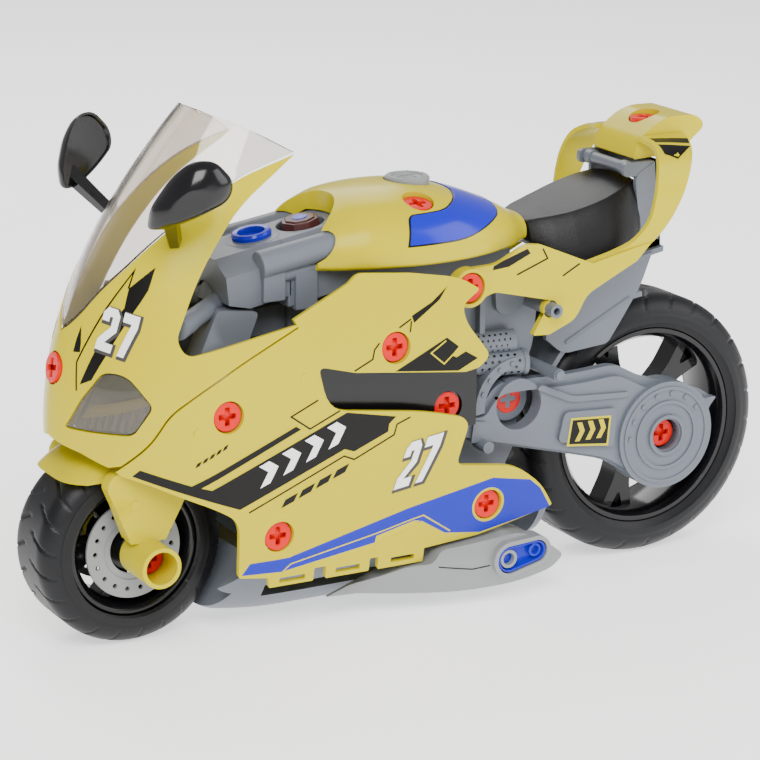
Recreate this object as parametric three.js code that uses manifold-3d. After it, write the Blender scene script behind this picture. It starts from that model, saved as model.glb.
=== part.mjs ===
// A take-apart toy sports motorcycle: a moulded plastic racing bike held together by
// large red cross-head plastic screws. Millimetres, +Z up. The nose points to -X, the
// rider's left side is -Y, and the ground is Z = 0 under the middle of the wheelbase.
import * as THREE from 'three';
import { mergeVertices } from 'three/addons/utils/BufferGeometryUtils.js';
import Module from 'manifold-3d';

const wasm = await Module();
wasm.setup();

// ---------------------------------------------------------------- driving dimensions
const WHEELBASE = 200;
const GAP = 0.4; // clearance between separate pieces
const WALL = 1.8; // moulded shell thickness
const FRONT = { x: -WHEELBASE / 2, radius: 32.5, half: 14.4, rim: 22.5 };
const REAR = { x: WHEELBASE / 2, radius: 47.5, half: 14.7, rim: 35.5 };
const TREAD_FLAT = 7; // half-width of the flat crown the bike stands on
const AXLE_RADIUS = 3;
const RAKE = THREE.MathUtils.degToRad(24);
const STEM = { x: -50.5, z: 131 }; // top end of the steering axis
const SCREW = { head: 5, headDepth: 2.6, shank: 2, slot: 1.1 };
const GRID = 18; // spacing of the mesh lines on curved shells

// The body's outer surface: half-width and foremost point at each height.
const BODY = { half: 38, widest: 75, rounding: 0.0019 };
const NOSE = { tip: -124.3, level: 72, sweep: 0.0044, length: 45, frontPower: 2.2, sidePower: 1.6 };
const TAPER = { start: 20, rate: 0.0012 };

// ---------------------------------------------------------------- materials
function plastic(color, roughness, metalness = 0) {
  return () => new THREE.MeshStandardMaterial({ color, roughness, metalness });
}
const yellow = plastic(0xf5e800, 0.25);
const grey = plastic(0x7f868e, 0.4);
const silver = plastic(0xa9aba8, 0.35, 0.2);
const blue = plastic(0x3b3fcb, 0.3);
const red = plastic(0xd81a10, 0.35);
const black = plastic(0x1a1a1c, 0.35);
const rubber = plastic(0x1d1e20, 0.7);
const smoke = plastic(0xb8b0a8, 0.1);
const brown = plastic(0x7a4a44, 0.4);

// ---------------------------------------------------------------- solids
function flip(index) {
  for (let i = 0; i < index.length; i += 3) {
    [index[i], index[i + 1]] = [index[i + 1], index[i]];
  }
}

// A closed geometry as a solid, turned the right way out.
function solid(geometry) {
  const bare = new THREE.BufferGeometry();
  bare.setAttribute('position', geometry.getAttribute('position').clone());
  if (geometry.index) bare.setIndex(geometry.index.clone());
  const merged = mergeVertices(bare, 1e-4);
  const vertProperties = new Float32Array(merged.getAttribute('position').array);
  const triVerts = new Uint32Array(merged.index.array);
  const made = new wasm.Manifold(new wasm.Mesh({ numProp: 3, vertProperties, triVerts }));
  if (made.volume() > 0) return made;
  flip(triVerts);
  return new wasm.Manifold(new wasm.Mesh({ numProp: 3, vertProperties, triVerts }));
}

function toGeometry(manifold) {
  const mesh = manifold.getMesh();
  const geometry = new THREE.BufferGeometry();
  geometry.setAttribute('position', new THREE.BufferAttribute(new Float32Array(mesh.vertProperties), 3));
  geometry.setIndex(new THREE.BufferAttribute(new Uint32Array(mesh.triVerts), 1));
  return geometry;
}

function join(...parts) {
  return parts.reduce((whole, part) => whole.add(part));
}

function cut(whole, ...tools) {
  return tools.reduce((rest, tool) => rest.subtract(tool), whole);
}

function mirrored(manifold) {
  return solid(toGeometry(manifold).scale(1, -1, 1));
}

function box(x0, x1, y0, y1, z0, z1) {
  const geometry = new THREE.BoxGeometry(x1 - x0, y1 - y0, z1 - z0);
  return solid(geometry.translate((x0 + x1) / 2, (y0 + y1) / 2, (z0 + z1) / 2));
}

// A cylinder along Y from y0 to y1, centred on (x, z).
function pinY(x, z, radius, y0, y1, sides = 20) {
  const geometry = new THREE.CylinderGeometry(radius, radius, y1 - y0, sides);
  return solid(geometry.translate(x, (y0 + y1) / 2, z));
}

// A cylinder or cone between two points.
function rod(from, to, radius, endRadius = radius, sides = 12) {
  const a = new THREE.Vector3(...from);
  const b = new THREE.Vector3(...to);
  const along = b.clone().sub(a);
  const geometry = new THREE.CylinderGeometry(endRadius, radius, along.length(), sides);
  geometry.applyQuaternion(
    new THREE.Quaternion().setFromUnitVectors(new THREE.Vector3(0, 1, 0), along.clone().normalize()));
  return solid(geometry.translate(...a.add(b).multiplyScalar(0.5).toArray()));
}

// A shape through the given points; a third number on a point rounds that corner.
function outline(points) {
  const shape = new THREE.Shape();
  points.forEach(([x, z, round = 0], i) => {
    const here = new THREE.Vector2(x, z);
    const before = new THREE.Vector2(...points.at(i - 1)).sub(here);
    const after = new THREE.Vector2(...points[(i + 1) % points.length]).sub(here);
    const reach = Math.min(round, 0.48 * before.length(), 0.48 * after.length());
    const enter = here.clone().add(before.setLength(reach));
    const leave = here.clone().add(after.setLength(reach));
    if (i === 0) shape.moveTo(enter.x, enter.y);
    else shape.lineTo(enter.x, enter.y);
    if (round > 0) shape.quadraticCurveTo(here.x, here.y, leave.x, leave.y);
  });
  shape.closePath();
  return shape;
}

// A side view (x, z) outline given thickness from y0 to y1.
function sidePlate(points, y0, y1, steps = 2) {
  const settings = { depth: y1 - y0, bevelEnabled: false, curveSegments: steps };
  const geometry = new THREE.ExtrudeGeometry(outline(points), settings);
  return solid(geometry.rotateX(Math.PI / 2).translate(0, y1, 0));
}

// A front view (y, z) outline given length from x0 to x1.
function frontPlate(points, x0, x1, steps = 2) {
  const settings = { depth: x1 - x0, bevelEnabled: false, curveSegments: steps };
  const geometry = new THREE.ExtrudeGeometry(outline(points), settings);
  return solid(geometry.rotateZ(Math.PI / 2).rotateY(Math.PI / 2).translate(x0, 0, 0));
}

// A closed profile of [y, radius] points turned about the Y axis through (x, z). Each facet's
// middle lies on the circle and one facet faces down, so a wheel stands on a flat.
function turned(profile, x, z, segments = 28) {
  const halfFacet = Math.PI / segments;
  const points = profile.map(([y, radius]) => new THREE.Vector2(radius / Math.cos(halfFacet), y));
  const geometry = new THREE.LatheGeometry([...points, points[0]], segments, halfFacet);
  return solid(geometry.translate(x, 0, z));
}

// ---------------------------------------------------------------- body surface
function noseX(z) {
  return NOSE.tip + NOSE.sweep * (z - NOSE.level) ** 2;
}

function sideHalf(z) {
  return BODY.half - BODY.rounding * (z - BODY.widest) ** 2;
}

function halfWidth(x, z) {
  const forward = THREE.MathUtils.clamp((noseX(z) + NOSE.length - x) / NOSE.length, 0, 1);
  const taper = TAPER.rate * Math.max(x - TAPER.start, 0) ** 2;
  return sideHalf(z) * (1 - forward ** NOSE.frontPower) ** (1 / NOSE.sidePower) - taper;
}

// A slab that follows the left body surface, from `inset` to `inset + wall` inside it.
function leftSkin(x0, x1, z0, z1, inset = 0, wall = WALL) {
  const columns = Math.ceil((x1 - x0) / GRID);
  const rows = Math.ceil((z1 - z0) / GRID);
  const geometry = new THREE.BoxGeometry(x1 - x0, 1, z1 - z0, columns, 1, rows);
  geometry.translate((x0 + x1) / 2, 0, (z0 + z1) / 2);
  const place = geometry.getAttribute('position');
  for (let i = 0; i < place.count; i += 1) {
    const depth = inset + (place.getY(i) > 0 ? wall : 0);
    place.setY(i, depth - halfWidth(place.getX(i), place.getZ(i)));
  }
  return solid(geometry);
}

// The U-shaped shell that wraps round the nose between two heights.
function noseWrap(z0, z1, inset, wall, turns = 18) {
  const straight = 30; // how far the sides run on behind the curved nose
  const rows = Math.ceil((z1 - z0) / GRID);
  const geometry = new THREE.BoxGeometry(2, 1, z1 - z0, turns, 1, rows);
  geometry.translate(0, 0, (z0 + z1) / 2);
  const place = geometry.getAttribute('position');
  for (let i = 0; i < place.count; i += 1) {
    const depth = inset + (place.getY(i) > 0 ? wall : 0);
    const height = place.getZ(i);
    const side = place.getX(i); // -1 at the left rear end, 0 on the nose, 1 at the right
    const sweep = Math.min(Math.abs(side) / 0.8, 1) * (Math.PI / 2);
    const beyond = (Math.max(Math.abs(side) - 0.8, 0) / 0.2) * straight;
    const forward = Math.cos(sweep) ** (2 / NOSE.frontPower) * (NOSE.length - depth);
    const out = Math.sin(sweep) ** (2 / NOSE.sidePower) * (sideHalf(height) - depth);
    place.setX(i, noseX(height) + NOSE.length - forward + beyond);
    place.setY(i, Math.sign(side) * out);
  }
  return solid(geometry);
}

// ---------------------------------------------------------------- screws
// A red screw: round head with a cross slot, and a shank. It points along `axis` from its
// head's outer face at `at`.
function screw(at, axis, shankLength = 6) {
  const reach = SCREW.headDepth + 1;
  const head = new THREE.CylinderGeometry(SCREW.head, SCREW.head, SCREW.headDepth, 10);
  const shank = new THREE.CylinderGeometry(SCREW.shank, SCREW.shank, shankLength, 6);
  const arm = new THREE.BoxGeometry(SCREW.slot, reach, SCREW.head * 1.1);
  const otherArm = new THREE.BoxGeometry(SCREW.head * 1.1, reach, SCREW.slot);
  head.translate(0, -SCREW.headDepth / 2, 0);
  shank.translate(0, -SCREW.headDepth - shankLength / 2 + 0.2, 0);
  arm.translate(0, reach / 2 - 1.6, 0);
  otherArm.translate(0, reach / 2 - 1.6, 0);
  const whole = cut(join(solid(head), solid(shank)), solid(arm), solid(otherArm));
  const turn = new THREE.Quaternion().setFromUnitVectors(
    new THREE.Vector3(0, -1, 0), new THREE.Vector3(...axis).normalize());
  return solid(toGeometry(whole).applyQuaternion(turn).translate(...at));
}

// The hole that such a screw needs, with clearance all round.
function screwHole(at, axis, depth = 12) {
  const way = new THREE.Vector3(...axis).normalize();
  const start = new THREE.Vector3(...at).addScaledVector(way, -8);
  const headEnd = new THREE.Vector3(...at).addScaledVector(way, SCREW.headDepth + GAP);
  const end = new THREE.Vector3(...at).addScaledVector(way, depth);
  return join(
    rod(start.toArray(), headEnd.toArray(), SCREW.head + GAP, SCREW.head + GAP, 10),
    rod(headEnd.addScaledVector(way, -0.5).toArray(), end.toArray(), SCREW.shank + GAP, SCREW.shank + GAP, 6));
}

// ---------------------------------------------------------------- wheels
function tyre(wheel) {
  const bead = wheel.rim + GAP;
  const shoulder = wheel.radius - 3;
  const side = wheel.radius - 7;
  const profile = [
    [-TREAD_FLAT, wheel.radius], [TREAD_FLAT, wheel.radius],
    [wheel.half - 2.6, shoulder], [wheel.half, side], [wheel.half - 2.2, bead],
    [2.2 - wheel.half, bead], [-wheel.half, side], [2.6 - wheel.half, shoulder],
  ];
  return turned(profile, wheel.x, wheel.radius);
}

function rim(wheel, spokes, hubRadius, hubHalf) {
  const outer = wheel.rim;
  const half = wheel.half - 2.4;
  const barrel = turned([[-half, outer], [half, outer], [half, outer - 2.2], [half - 3, outer - 3.4],
    [3 - half, outer - 3.4], [-half, outer - 2.2]], wheel.x, wheel.radius);
  const hub = pinY(wheel.x, wheel.radius, hubRadius, -hubHalf, hubHalf, 20);
  let whole = join(barrel, hub);
  for (let i = 0; i < spokes; i += 1) {
    const reach = outer - 2.6;
    const spoke = new THREE.ExtrudeGeometry(
      outline([[hubRadius - 2, -2.6], [reach, -4.6], [reach, 4.6], [hubRadius - 2, 2.6]]),
      { depth: 7, bevelEnabled: false });
    spoke.translate(0, 0, -3.5).rotateX(Math.PI / 2);
    spoke.rotateY((i / spokes) * 2 * Math.PI + 0.5);
    whole = join(whole, solid(spoke.translate(wheel.x, 0, wheel.radius)));
  }
  return cut(whole, pinY(wheel.x, wheel.radius, AXLE_RADIUS + GAP, -30, 30, 16));
}

function brakeDisc() {
  return turned([[-11.9, 16.7], [-10.7, 16.7], [-10.7, 10.4], [-11.9, 10.4]], FRONT.x, FRONT.radius, 28);
}

// ---------------------------------------------------------------- steering
// A point on the steering axis, `down` millimetres below its top end.
function onSteeringAxis(down) {
  return [STEM.x - Math.sin(RAKE) * down, 0, STEM.z - Math.cos(RAKE) * down];
}

function forkYoke() {
  const stem = rod(onSteeringAxis(16.5), onSteeringAxis(66), 6, 6, 16);
  const upperClamp = rod(onSteeringAxis(20), onSteeringAxis(26), 9.5, 9.5, 16);
  const leftBar = rod([-66, -6, 110.8], [-90.5, -27.6, 109.4], 3.4, 3.4, 12);
  const leftLug = sidePlate([[-83, 86], [-66, 86], [-57, 109], [-72, 111]], -18, -11);
  const lowerBridge = sidePlate([[-91, 77], [-70, 77], [-64, 88], [-84, 90]], -21, 21);
  return join(stem, upperClamp, lowerBridge, leftBar, mirrored(leftBar), leftLug, mirrored(leftLug));
}

// Front mudguard with side skirts, moulded in one piece with the two fork blades and axle bosses.
function forkFender() {
  const crown = FRONT.radius + 3.3;
  const side = 17.4;
  const ring = turned([[-side, crown - 9], [-side, crown - 4], [-13, crown], [13, crown], [side, crown - 4],
    [side, crown - 9], [side - 1.6, crown - 9], [side - 1.6, crown - 4.6], [12.4, crown - 1.6],
    [-12.4, crown - 1.6], [1.6 - side, crown - 4.6], [1.6 - side, crown - 9]], FRONT.x, FRONT.radius);
  const wedge = sidePlate([[-140, 59], [-140, 80], [-84, 80], [-84, 66], [-98, 58]], -20, 20);
  const arch = ring.intersect(wedge);
  const blade = sidePlate([[-107, 34], [-113, 58], [-97, 76.4], [-78, 76.4], [-85.5, 50], [-93, 34]],
    -19.6, -15.6);
  const outerBlade = sidePlate([[-107.5, 35], [-116, 58], [-86.5, 46.6], [-93, 35]], -26, -19);
  const boss = pinY(FRONT.x, FRONT.radius, 6.9, -34, -15.6, 20);
  const bossHole = pinY(FRONT.x, FRONT.radius, SCREW.head + GAP, -36, -21, 16);
  const axleHole = pinY(FRONT.x, FRONT.radius, AXLE_RADIUS + GAP, -34, 0, 16);
  const leg = cut(join(blade, outerBlade, boss), bossHole, axleHole);
  const clearOfTyre = pinY(FRONT.x, FRONT.radius, FRONT.radius + 1.3, -15.3, 15.3, 28);
  return cut(join(arch, leg, mirrored(leg)), clearOfTyre);
}

// ---------------------------------------------------------------- nose
const RIM_LINE = [[-119.6, 105.6], [-116.9, 110.2], [-109.9, 121.2], [-94.2, 137.6], [-69, 155], [-47, 161.4]];
const SEAM = [[-52.2, 107.5], [-73.5, 97.8], [-87.5, 90.3], [-97, 83.8, 3], [-103, 74, 3], [-112, 64.6]];
const CHIN = [[-113.5, 65.3], [-119.5, 68.9], [-124, 72], [-130, 76]];
const HEADLIGHT = [[-122.4, 76.2, 1], [-119, 86.5, 3], [-113.5, 96.4, 3], [-108, 95.8, 3],
  [-101.6, 86, 2], [-107.4, 76.4, 2]];
const NOSE_SCREW = { at: [-122.6, 0, 94.2], axis: [1, 0, -0.2] };
const WINDOW = [[-47, 161.4], [-69.5, 146.4, 8], [-85, 126, 8], [-93.6, 107, 6], [-91, 101.6, 3], [-52.2, 108.2, 2]];

function shifted(points, dx, dz) {
  return points.map(([x, z, round]) => [x + dx, z + dz, round]);
}

function noseCowl() {
  const shell = noseWrap(64.4, 162, 0, WALL);
  const side = sidePlate([...RIM_LINE, ...WINDOW.slice(1), ...SEAM.slice(1), ...CHIN, [-130, 105.6]], -60, 60);
  const left = sidePlate(HEADLIGHT, -60, -4);
  const seat = rod([-122, 0, 94], [-112, 0, 92], 6.4, 6.4, 12);
  return cut(join(shell.intersect(side), seat.intersect(noseWrap(80, 110, 0.8, 9))),
    left, mirrored(left), screwHole(NOSE_SCREW.at, NOSE_SCREW.axis, 20));
}

function headlightLens() {
  const middle = [-111.6, 86.4];
  const smaller = HEADLIGHT.map(([x, z, round]) => [
    middle[0] + (x - middle[0]) * 0.95, middle[1] + (z - middle[1]) * 0.95, round]);
  return noseWrap(70, 100, 0.5, 2.2).intersect(sidePlate(smaller, -60, -5));
}

function windshield() {
  const shell = noseWrap(104, 178, 0.2, 1.5);
  const lower = shifted(RIM_LINE, -0.1, 0.55);
  return shell.intersect(sidePlate([...lower, [-48.4, 162.6], [-76.4, 176.4], [-130, 176.4], [-130, 106.1]], -60, 60));
}

// A scooped mirror head on its stalk. The rim is drawn in its own plane, from the lower tip up.
const MIRROR = { foot: [-93.2, -25.8, 135.8], tip: [-102.2, -32.2, 145.4], front: [-0.38, -0.88, -0.28], depth: 7 };
const MIRROR_RIM = [[-0.9, -0.9, 1.5], [0, 6, 4], [6.6, 16.8, 5], [13, 22.4, 4], [20, 22.4, 4], [25.8, 15.6, 4],
  [25.2, 9.6, 4], [15.5, 3.7, 5], [4.7, -0.8, 2]];

function mirror() {
  const front = new THREE.Vector3(...MIRROR.front).normalize();
  const along = new THREE.Vector3(0, 0, 1).cross(front).normalize();
  const place = new THREE.Matrix4().makeBasis(along, front.clone().cross(along), front).setPosition(...MIRROR.tip);
  const head = new THREE.ExtrudeGeometry(outline(MIRROR_RIM),
    { depth: MIRROR.depth, steps: 3, bevelEnabled: false, curveSegments: 2 });
  const point = head.getAttribute('position');
  for (let i = 0; i < point.count; i += 1) {
    const shrink = 1 - 0.5 * (point.getZ(i) / MIRROR.depth) ** 2;
    point.setX(i, 11 + (point.getX(i) - 11) * shrink);
    point.setY(i, 10 + (point.getY(i) - 10) * shrink);
  }
  const knee = new THREE.Vector3(6, 4, 3).applyMatrix4(place).toArray();
  return join(solid(head.applyMatrix4(place)), rod(MIRROR.foot, knee, 2, 2.6, 8));
}

// ---------------------------------------------------------------- side fairing
const VENT = [[9.8, 85.1], [-31.8, 90], [-45.4, 93.6, 3], [-41.8, 78.6, 6], [-5, 73.4, 12], [9.2, 69.6, 6]];
const FAIRING_SCREWS = [[-77.9, 81.1], [-16.4, 96.4], [-58.4, 37.2], [21.2, 36.3]];
const SINK = 0.9; // how deep the fairing's screws sit
const TOOTH_GAPS = [[-63, -59.6], [-44.2, -39.6], [-23.2, -19.8]];

function fairingOutline() {
  const seam = shifted(SEAM, 0.35, -0.5);
  const top = [[-53.4, 110], [-32.7, 119.4], [-29, 122.3, 2], [-9.6, 120.3], [8.5, 117, 4], [16.4, 112.2, 1],
    [9.2, 107.6, 4], [10.6, 101.6, 3], [19.6, 89.6, 3], [15.2, 86, 1]];
  const rear = [[11.4, 66.6, 4], [7.2, 52.8, 2], [31.1, 49.2, 4], [42.4, 40.6, 4], [48, 31.8, 1]];
  const bottom = [[18.1, 25.4], [-2.4, 23.8], [-2.4, 18.8], [-60.4, 18.8], [-61.3, 22.6], [-72.2, 24.3, 1]];
  const front = [[-73.4, 45, 5], [-82, 50.4, 5], [-103, 60.2], [-110.4, 62.9]];
  return [...seam.slice().reverse(), ...top, ...VENT, ...rear, ...bottom, ...front];
}

function sideFairing() {
  let panel = leftSkin(-113, 50, 17, 124).intersect(sidePlate(fairingOutline(), -60, -8));
  for (const [x0, x1] of TOOTH_GAPS.slice(1)) {
    panel = cut(panel, box(x0, x1, -60, -8, 10, 23.4));
  }
  for (const [x, z] of FAIRING_SCREWS) {
    const y = -halfWidth(x, z);
    const seat = pinY(x, z, 6.6, y + 0.6, y + 5.6, 10);
    panel = cut(join(panel, seat), screwHole([x, y + SINK, z], [0, 1, 0]));
  }
  return panel;
}

// Black inner panel seen through the side vent.
function ventPanel() {
  const plate = leftSkin(-52, 18, 64, 98, 6.5, WALL);
  return cut(plate.intersect(sidePlate([[-50, 96, 4], [17, 88], [17, 65], [0, 65], [-44, 72, 6]], -60, -8)),
    screwHole([9.6, -31, 71.6], [0, 1, 0], 14));
}

// ---------------------------------------------------------------- tank and seat
// Stations along the tank: x, half-width, top height.
const TANK = [[-37, 21, 134.5], [-30, 25, 139], [-20, 29, 142.5], [-5, 31.5, 143.8],
  [10, 31, 143], [25, 27, 139.2], [38, 20.5, 134.2], [50, 10, 128.5]];
const TANK_FLOOR = 119;
const TANK_WAIST = 122.5;
const CAP = { x: 8, radius: 7.7, top: 145 };

// A closed loft through the tank's stations, shrunk by `inset` and floored at `floor`.
function tankLoft(inset, floor, x0 = TANK[0][0], x1 = TANK.at(-1)[0]) {
  const around = 16;
  const geometry = new THREE.CylinderGeometry(1, 1, x1 - x0, around, 8);
  geometry.rotateZ(-Math.PI / 2).translate((x0 + x1) / 2, 0, 0);
  const halfCurve = new THREE.SplineCurve(TANK.map(([x, half]) => new THREE.Vector2(x, half)));
  const topCurve = new THREE.SplineCurve(TANK.map(([x, , top]) => new THREE.Vector2(x, top)));
  const place = geometry.getAttribute('position');
  for (let i = 0; i < place.count; i += 1) {
    const x = place.getX(i);
    const across = place.getY(i);
    const up = place.getZ(i);
    const half = valueAt(halfCurve, x) - inset;
    const top = valueAt(topCurve, x) - inset;
    const y = Math.sign(across) * Math.abs(across) ** 0.83 * half;
    const lift = Math.abs(up) ** 0.83 * (up > 0 ? top - TANK_WAIST : TANK_WAIST - floor);
    place.setY(i, y);
    place.setZ(i, TANK_WAIST + Math.sign(up) * lift);
  }
  return solid(geometry);
}

// The curve's second coordinate where its first one is x.
function valueAt(curve, x) {
  let low = 0;
  let high = 1;
  for (let step = 0; step < 24; step += 1) {
    const middle = (low + high) / 2;
    if (curve.getPoint(middle).x < x) low = middle;
    else high = middle;
  }
  return curve.getPoint((low + high) / 2).y;
}

const TANK_PANEL = [[-8, 128.4, 1], [-5.6, 137, 2], [8.6, 137.2], [21.6, 141.6], [19.4, 150], [40, 150],
  [34, 133, 4], [15, 128.6, 4]];

function tankShell() {
  const outer = tankLoft(0, TANK_FLOOR);
  const inner = tankLoft(WALL, TANK_FLOOR - 8, -18, 48);
  const frameRoom = [[-18, 100], [-18, 125], [-10.2, 129.9], [10.2, 129.9], [18, 125], [18, 100]];
  const frontRoom = join(sloped(frontPlate(frameRoom, -60, -17.4)),
    sloped(rod([-60, -17.4, 125.6], [-17, -17.4, 124.6], 5.2, 5.2, 12)),
    sloped(rod([-60, 17.4, 125.6], [-17, 17.4, 124.6], 5.2, 5.2, 12)),
    post(-40, 0, 17.8, 120, 160, 24));
  const panelPocket = cut(tankLoft(-2, TANK_FLOOR), tankLoft(1.2, TANK_FLOOR - 2))
    .intersect(sidePlate(TANK_PANEL, -60, 60));
  const cap = solid(new THREE.CylinderGeometry(CAP.radius + GAP, CAP.radius + GAP, 6, 24)
    .rotateX(Math.PI / 2).translate(CAP.x, 0, 144.6));
  const shell = cut(outer, inner);
  const seats = [-1, 1].map((side) => rod([1.3, side * 19, 133], [1.3, side * 19, 139.4], 6.4, 6.4, 12));
  let whole = cut(join(shell, ...seats.map((seat) => seat.intersect(outer))), cap, panelPocket, frontRoom);
  for (const side of [-1, 1]) whole = cut(whole, screwHole([1.3, side * 19, 140], [0, side * -0.25, -1], 12));
  return whole;
}

function tankPanel() {
  const slab = cut(tankLoft(0.1, TANK_FLOOR), tankLoft(0.9, TANK_FLOOR - 2));
  const centre = [16, 137];
  const smaller = TANK_PANEL.map(([x, z, round]) => [
    centre[0] + (x - centre[0]) * 0.975, centre[1] + (z - centre[1]) * 0.955, round]);
  return slab.intersect(sidePlate(smaller, -60, 60));
}

function fillerCap() {
  const z = 141.9;
  const points = [[0, z], [CAP.radius, z], [CAP.radius, CAP.top - 0.8], [CAP.radius - 1.2, CAP.top],
    [4.4, CAP.top], [4, CAP.top - 1], [0, CAP.top - 1]];
  const geometry = new THREE.LatheGeometry(points.map(([r, h]) => new THREE.Vector2(r, h)), 28);
  return solid(geometry.rotateX(Math.PI / 2).translate(CAP.x, 0, 0));
}

// Stations along the saddle: x, half-width, bottom, top.
const SEAT = [[50.6, 13, 119.4, 127.2], [57, 18, 115.6, 129], [65, 22, 112.4, 131], [76, 24, 112.6, 134.6],
  [87, 21, 115.4, 137], [94.6, 15.5, 120, 138.6]];

function seat() {
  const x0 = SEAT[0][0];
  const x1 = SEAT.at(-1)[0];
  const geometry = new THREE.BoxGeometry(x1 - x0, 2, 2, 6, 6, 3);
  geometry.translate((x0 + x1) / 2, 0, 0);
  const curves = [1, 2, 3].map((k) => new THREE.SplineCurve(SEAT.map((row) => new THREE.Vector2(row[0], row[k]))));
  const place = geometry.getAttribute('position');
  for (let i = 0; i < place.count; i += 1) {
    const x = place.getX(i);
    const [half, bottom, top] = curves.map((curve) => valueAt(curve, x));
    const across = place.getY(i);
    const up = (place.getZ(i) + 1) / 2;
    const narrow = 1 - 0.42 * up ** 2;
    const crown = (top - bottom) * (1 - 0.18 * across ** 2 * up);
    place.setY(i, across * half * narrow);
    place.setZ(i, bottom + up * crown + (1 - up) * (1 - Math.abs(across)) * 6);
  }
  return solid(geometry);
}

// ---------------------------------------------------------------- tail
// Stations round the tail side panel: y, z, front x, rear x.
const TAIL = [[-13.2, 153, 92, 111], [-21, 151.6, 93, 108.6], [-28, 147.8, 91, 105.2], [-31.4, 141, 89, 101.6],
  [-32.2, 134, 87.6, 98.4], [-31.4, 126, 85.4, 94], [-30, 119, 78, 88], [-28.6, 114.5, 63, 80]];

function tailPanel() {
  const last = TAIL.length - 1;
  const geometry = new THREE.BoxGeometry(last, 1, 1, last * 2, 2, 1);
  geometry.translate(last / 2, 0, 0);
  const curves = [0, 1, 2, 3].map((k) => new THREE.SplineCurve(TAIL.map((row, i) => new THREE.Vector2(i, row[k]))));
  const place = geometry.getAttribute('position');
  for (let i = 0; i < place.count; i += 1) {
    const station = place.getX(i);
    const [y, z, front, rear] = curves.map((curve) => curve.getPoint(station / last).y);
    const next = curves.slice(0, 2).map((curve) => curve.getPoint(Math.min(station / last + 0.02, 1)).y);
    const prior = curves.slice(0, 2).map((curve) => curve.getPoint(Math.max(station / last - 0.02, 0)).y);
    const along = new THREE.Vector2(next[0] - prior[0], next[1] - prior[1]).normalize();
    const depth = place.getZ(i) > 0 ? 0 : WALL;
    const span = place.getY(i) + 0.5;
    place.setXYZ(i, front + (rear - front) * span, y - along.y * depth, z + along.x * depth);
  }
  const wing = solid(geometry);
  const rail = sidePlate([[8.6, 112, 5], [12, 118, 3], [26, 118.4, 3], [37, 124, 2], [43, 123.4], [64, 114.6],
    [80, 118], [88, 119.6], [82, 113.6], [62, 104, 2], [57.4, 95.8, 3], [47, 91.6, 1], [40.4, 92, 1], [47.4, 103.6, 1],
    [25, 109, 2], [18, 106.4, 5]], -30.4, -28.2);
  const boss = pinY(14.4, 112, 6.6, -32.6, -28.2, 14);
  return cut(join(wing, rail, boss), screwHole([14.4, -32.4, 112], [0, 1, 0]), pinY(47.3, 100.6, 2.9, -40, -20, 12));
}

function tailHump() {
  const block = sidePlate([[91, 144.8], [93, 151.6, 2], [103, 158.8, 6], [117, 158.6, 3], [121, 154.6, 2],
    [110, 145.6, 2]], -12.6, 12.6, 4);
  const hollow = sidePlate([[93.4, 140], [95.4, 150.4], [104, 156.4], [116, 156.2], [117.4, 154],
    [108, 140]], -10.8, 10.8);
  const pillar = rod([103.5, 0, 146.4], [103.5, 0, 157.6], 6.4, 6.4, 14);
  return cut(join(cut(block, hollow), pillar), screwHole([103.5, 0, 157.2], [0, 0, -1], 14));
}

function tailRod() {
  return join(rod([89.2, -12, 141.8], [89.2, 12, 141.8], 2.1, 2.1, 12), pinY(89.2, 141.8, 2.6, -12.8, -9, 12),
    pinY(89.2, 141.8, 2.6, 9, 12.8, 12));
}

// ---------------------------------------------------------------- frame and engine
const TOP_SLOPE = 0.18; // the top of the frame rises towards the tank
const BUTTON = { x: -32.6, radius: 7.2, travel: 1.5 };

// Leans a piece so that its top rises towards the rear, keeping it where the steering stem is.
function sloped(manifold) {
  const lean = new THREE.Matrix4().set(1, 0, 0, 0, 0, 1, 0, 0, TOP_SLOPE, 0, 1, -TOP_SLOPE * STEM.x, 0, 0, 0, 1);
  return solid(toGeometry(manifold).applyMatrix4(lean));
}

function topOfFrame(x) {
  return 129.3 + TOP_SLOPE * (x - STEM.x);
}

// An upright cylinder with its centre on the middle plane.
function post(x, y, radius, z0, z1, sides = 20) {
  const geometry = new THREE.CylinderGeometry(radius, radius, z1 - z0, sides);
  return solid(geometry.rotateX(Math.PI / 2).translate(x, y, (z0 + z1) / 2));
}

function airbox() {
  const roof = [[-17.5, 124.3], [-10, 129.3], [10, 129.3], [17.5, 124.3]];
  const front = sloped(frontPlate([[-17.5, 119], ...roof, [17.5, 119]], -71, -45));
  const rear = sloped(frontPlate([[-17.5, 108], ...roof, [17.5, 108]], -46, -18));
  const raked = sidePlate([[-66.4, 100], [-71.6, 128], [-71.6, 150], [0, 150], [0, 100]], -30, 30);
  const rail = sloped(rod([-57, -17.4, 125.6], [-19, -17.4, 124.6], 4.6, 4.6, 12));
  const spine = box(-40, 50, -6, 6, 97, 107);
  const neck = sidePlate([[-40, 97], [-40, 107], [-62, 105], [-66, 96]], -4, 4);
  const bearing = rod(onSteeringAxis(30.5), onSteeringAxis(38), 8.6, 8.6, 16);
  const web = box(-40, -20, -6, 6, 100, 122);
  const rearWeb = box(-22, 46, -6, 6, 104, 118);
  const body = join(front.intersect(raked), rear, rail, mirrored(rail), spine, web, rearWeb, neck, bearing);
  return cut(body,
    rod(onSteeringAxis(12), onSteeringAxis(60), 6.5, 6.5, 16),
    rod(onSteeringAxis(13), onSteeringAxis(26.6), 10.2, 10.2, 16),
    post(STEM.x, 0, 3.4, 118, 140, 12),
    post(BUTTON.x, 0, BUTTON.radius + GAP, 127.6, 145, 8),
    post(BUTTON.x, 0, 2.4, 112, 130, 12));
}

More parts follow.
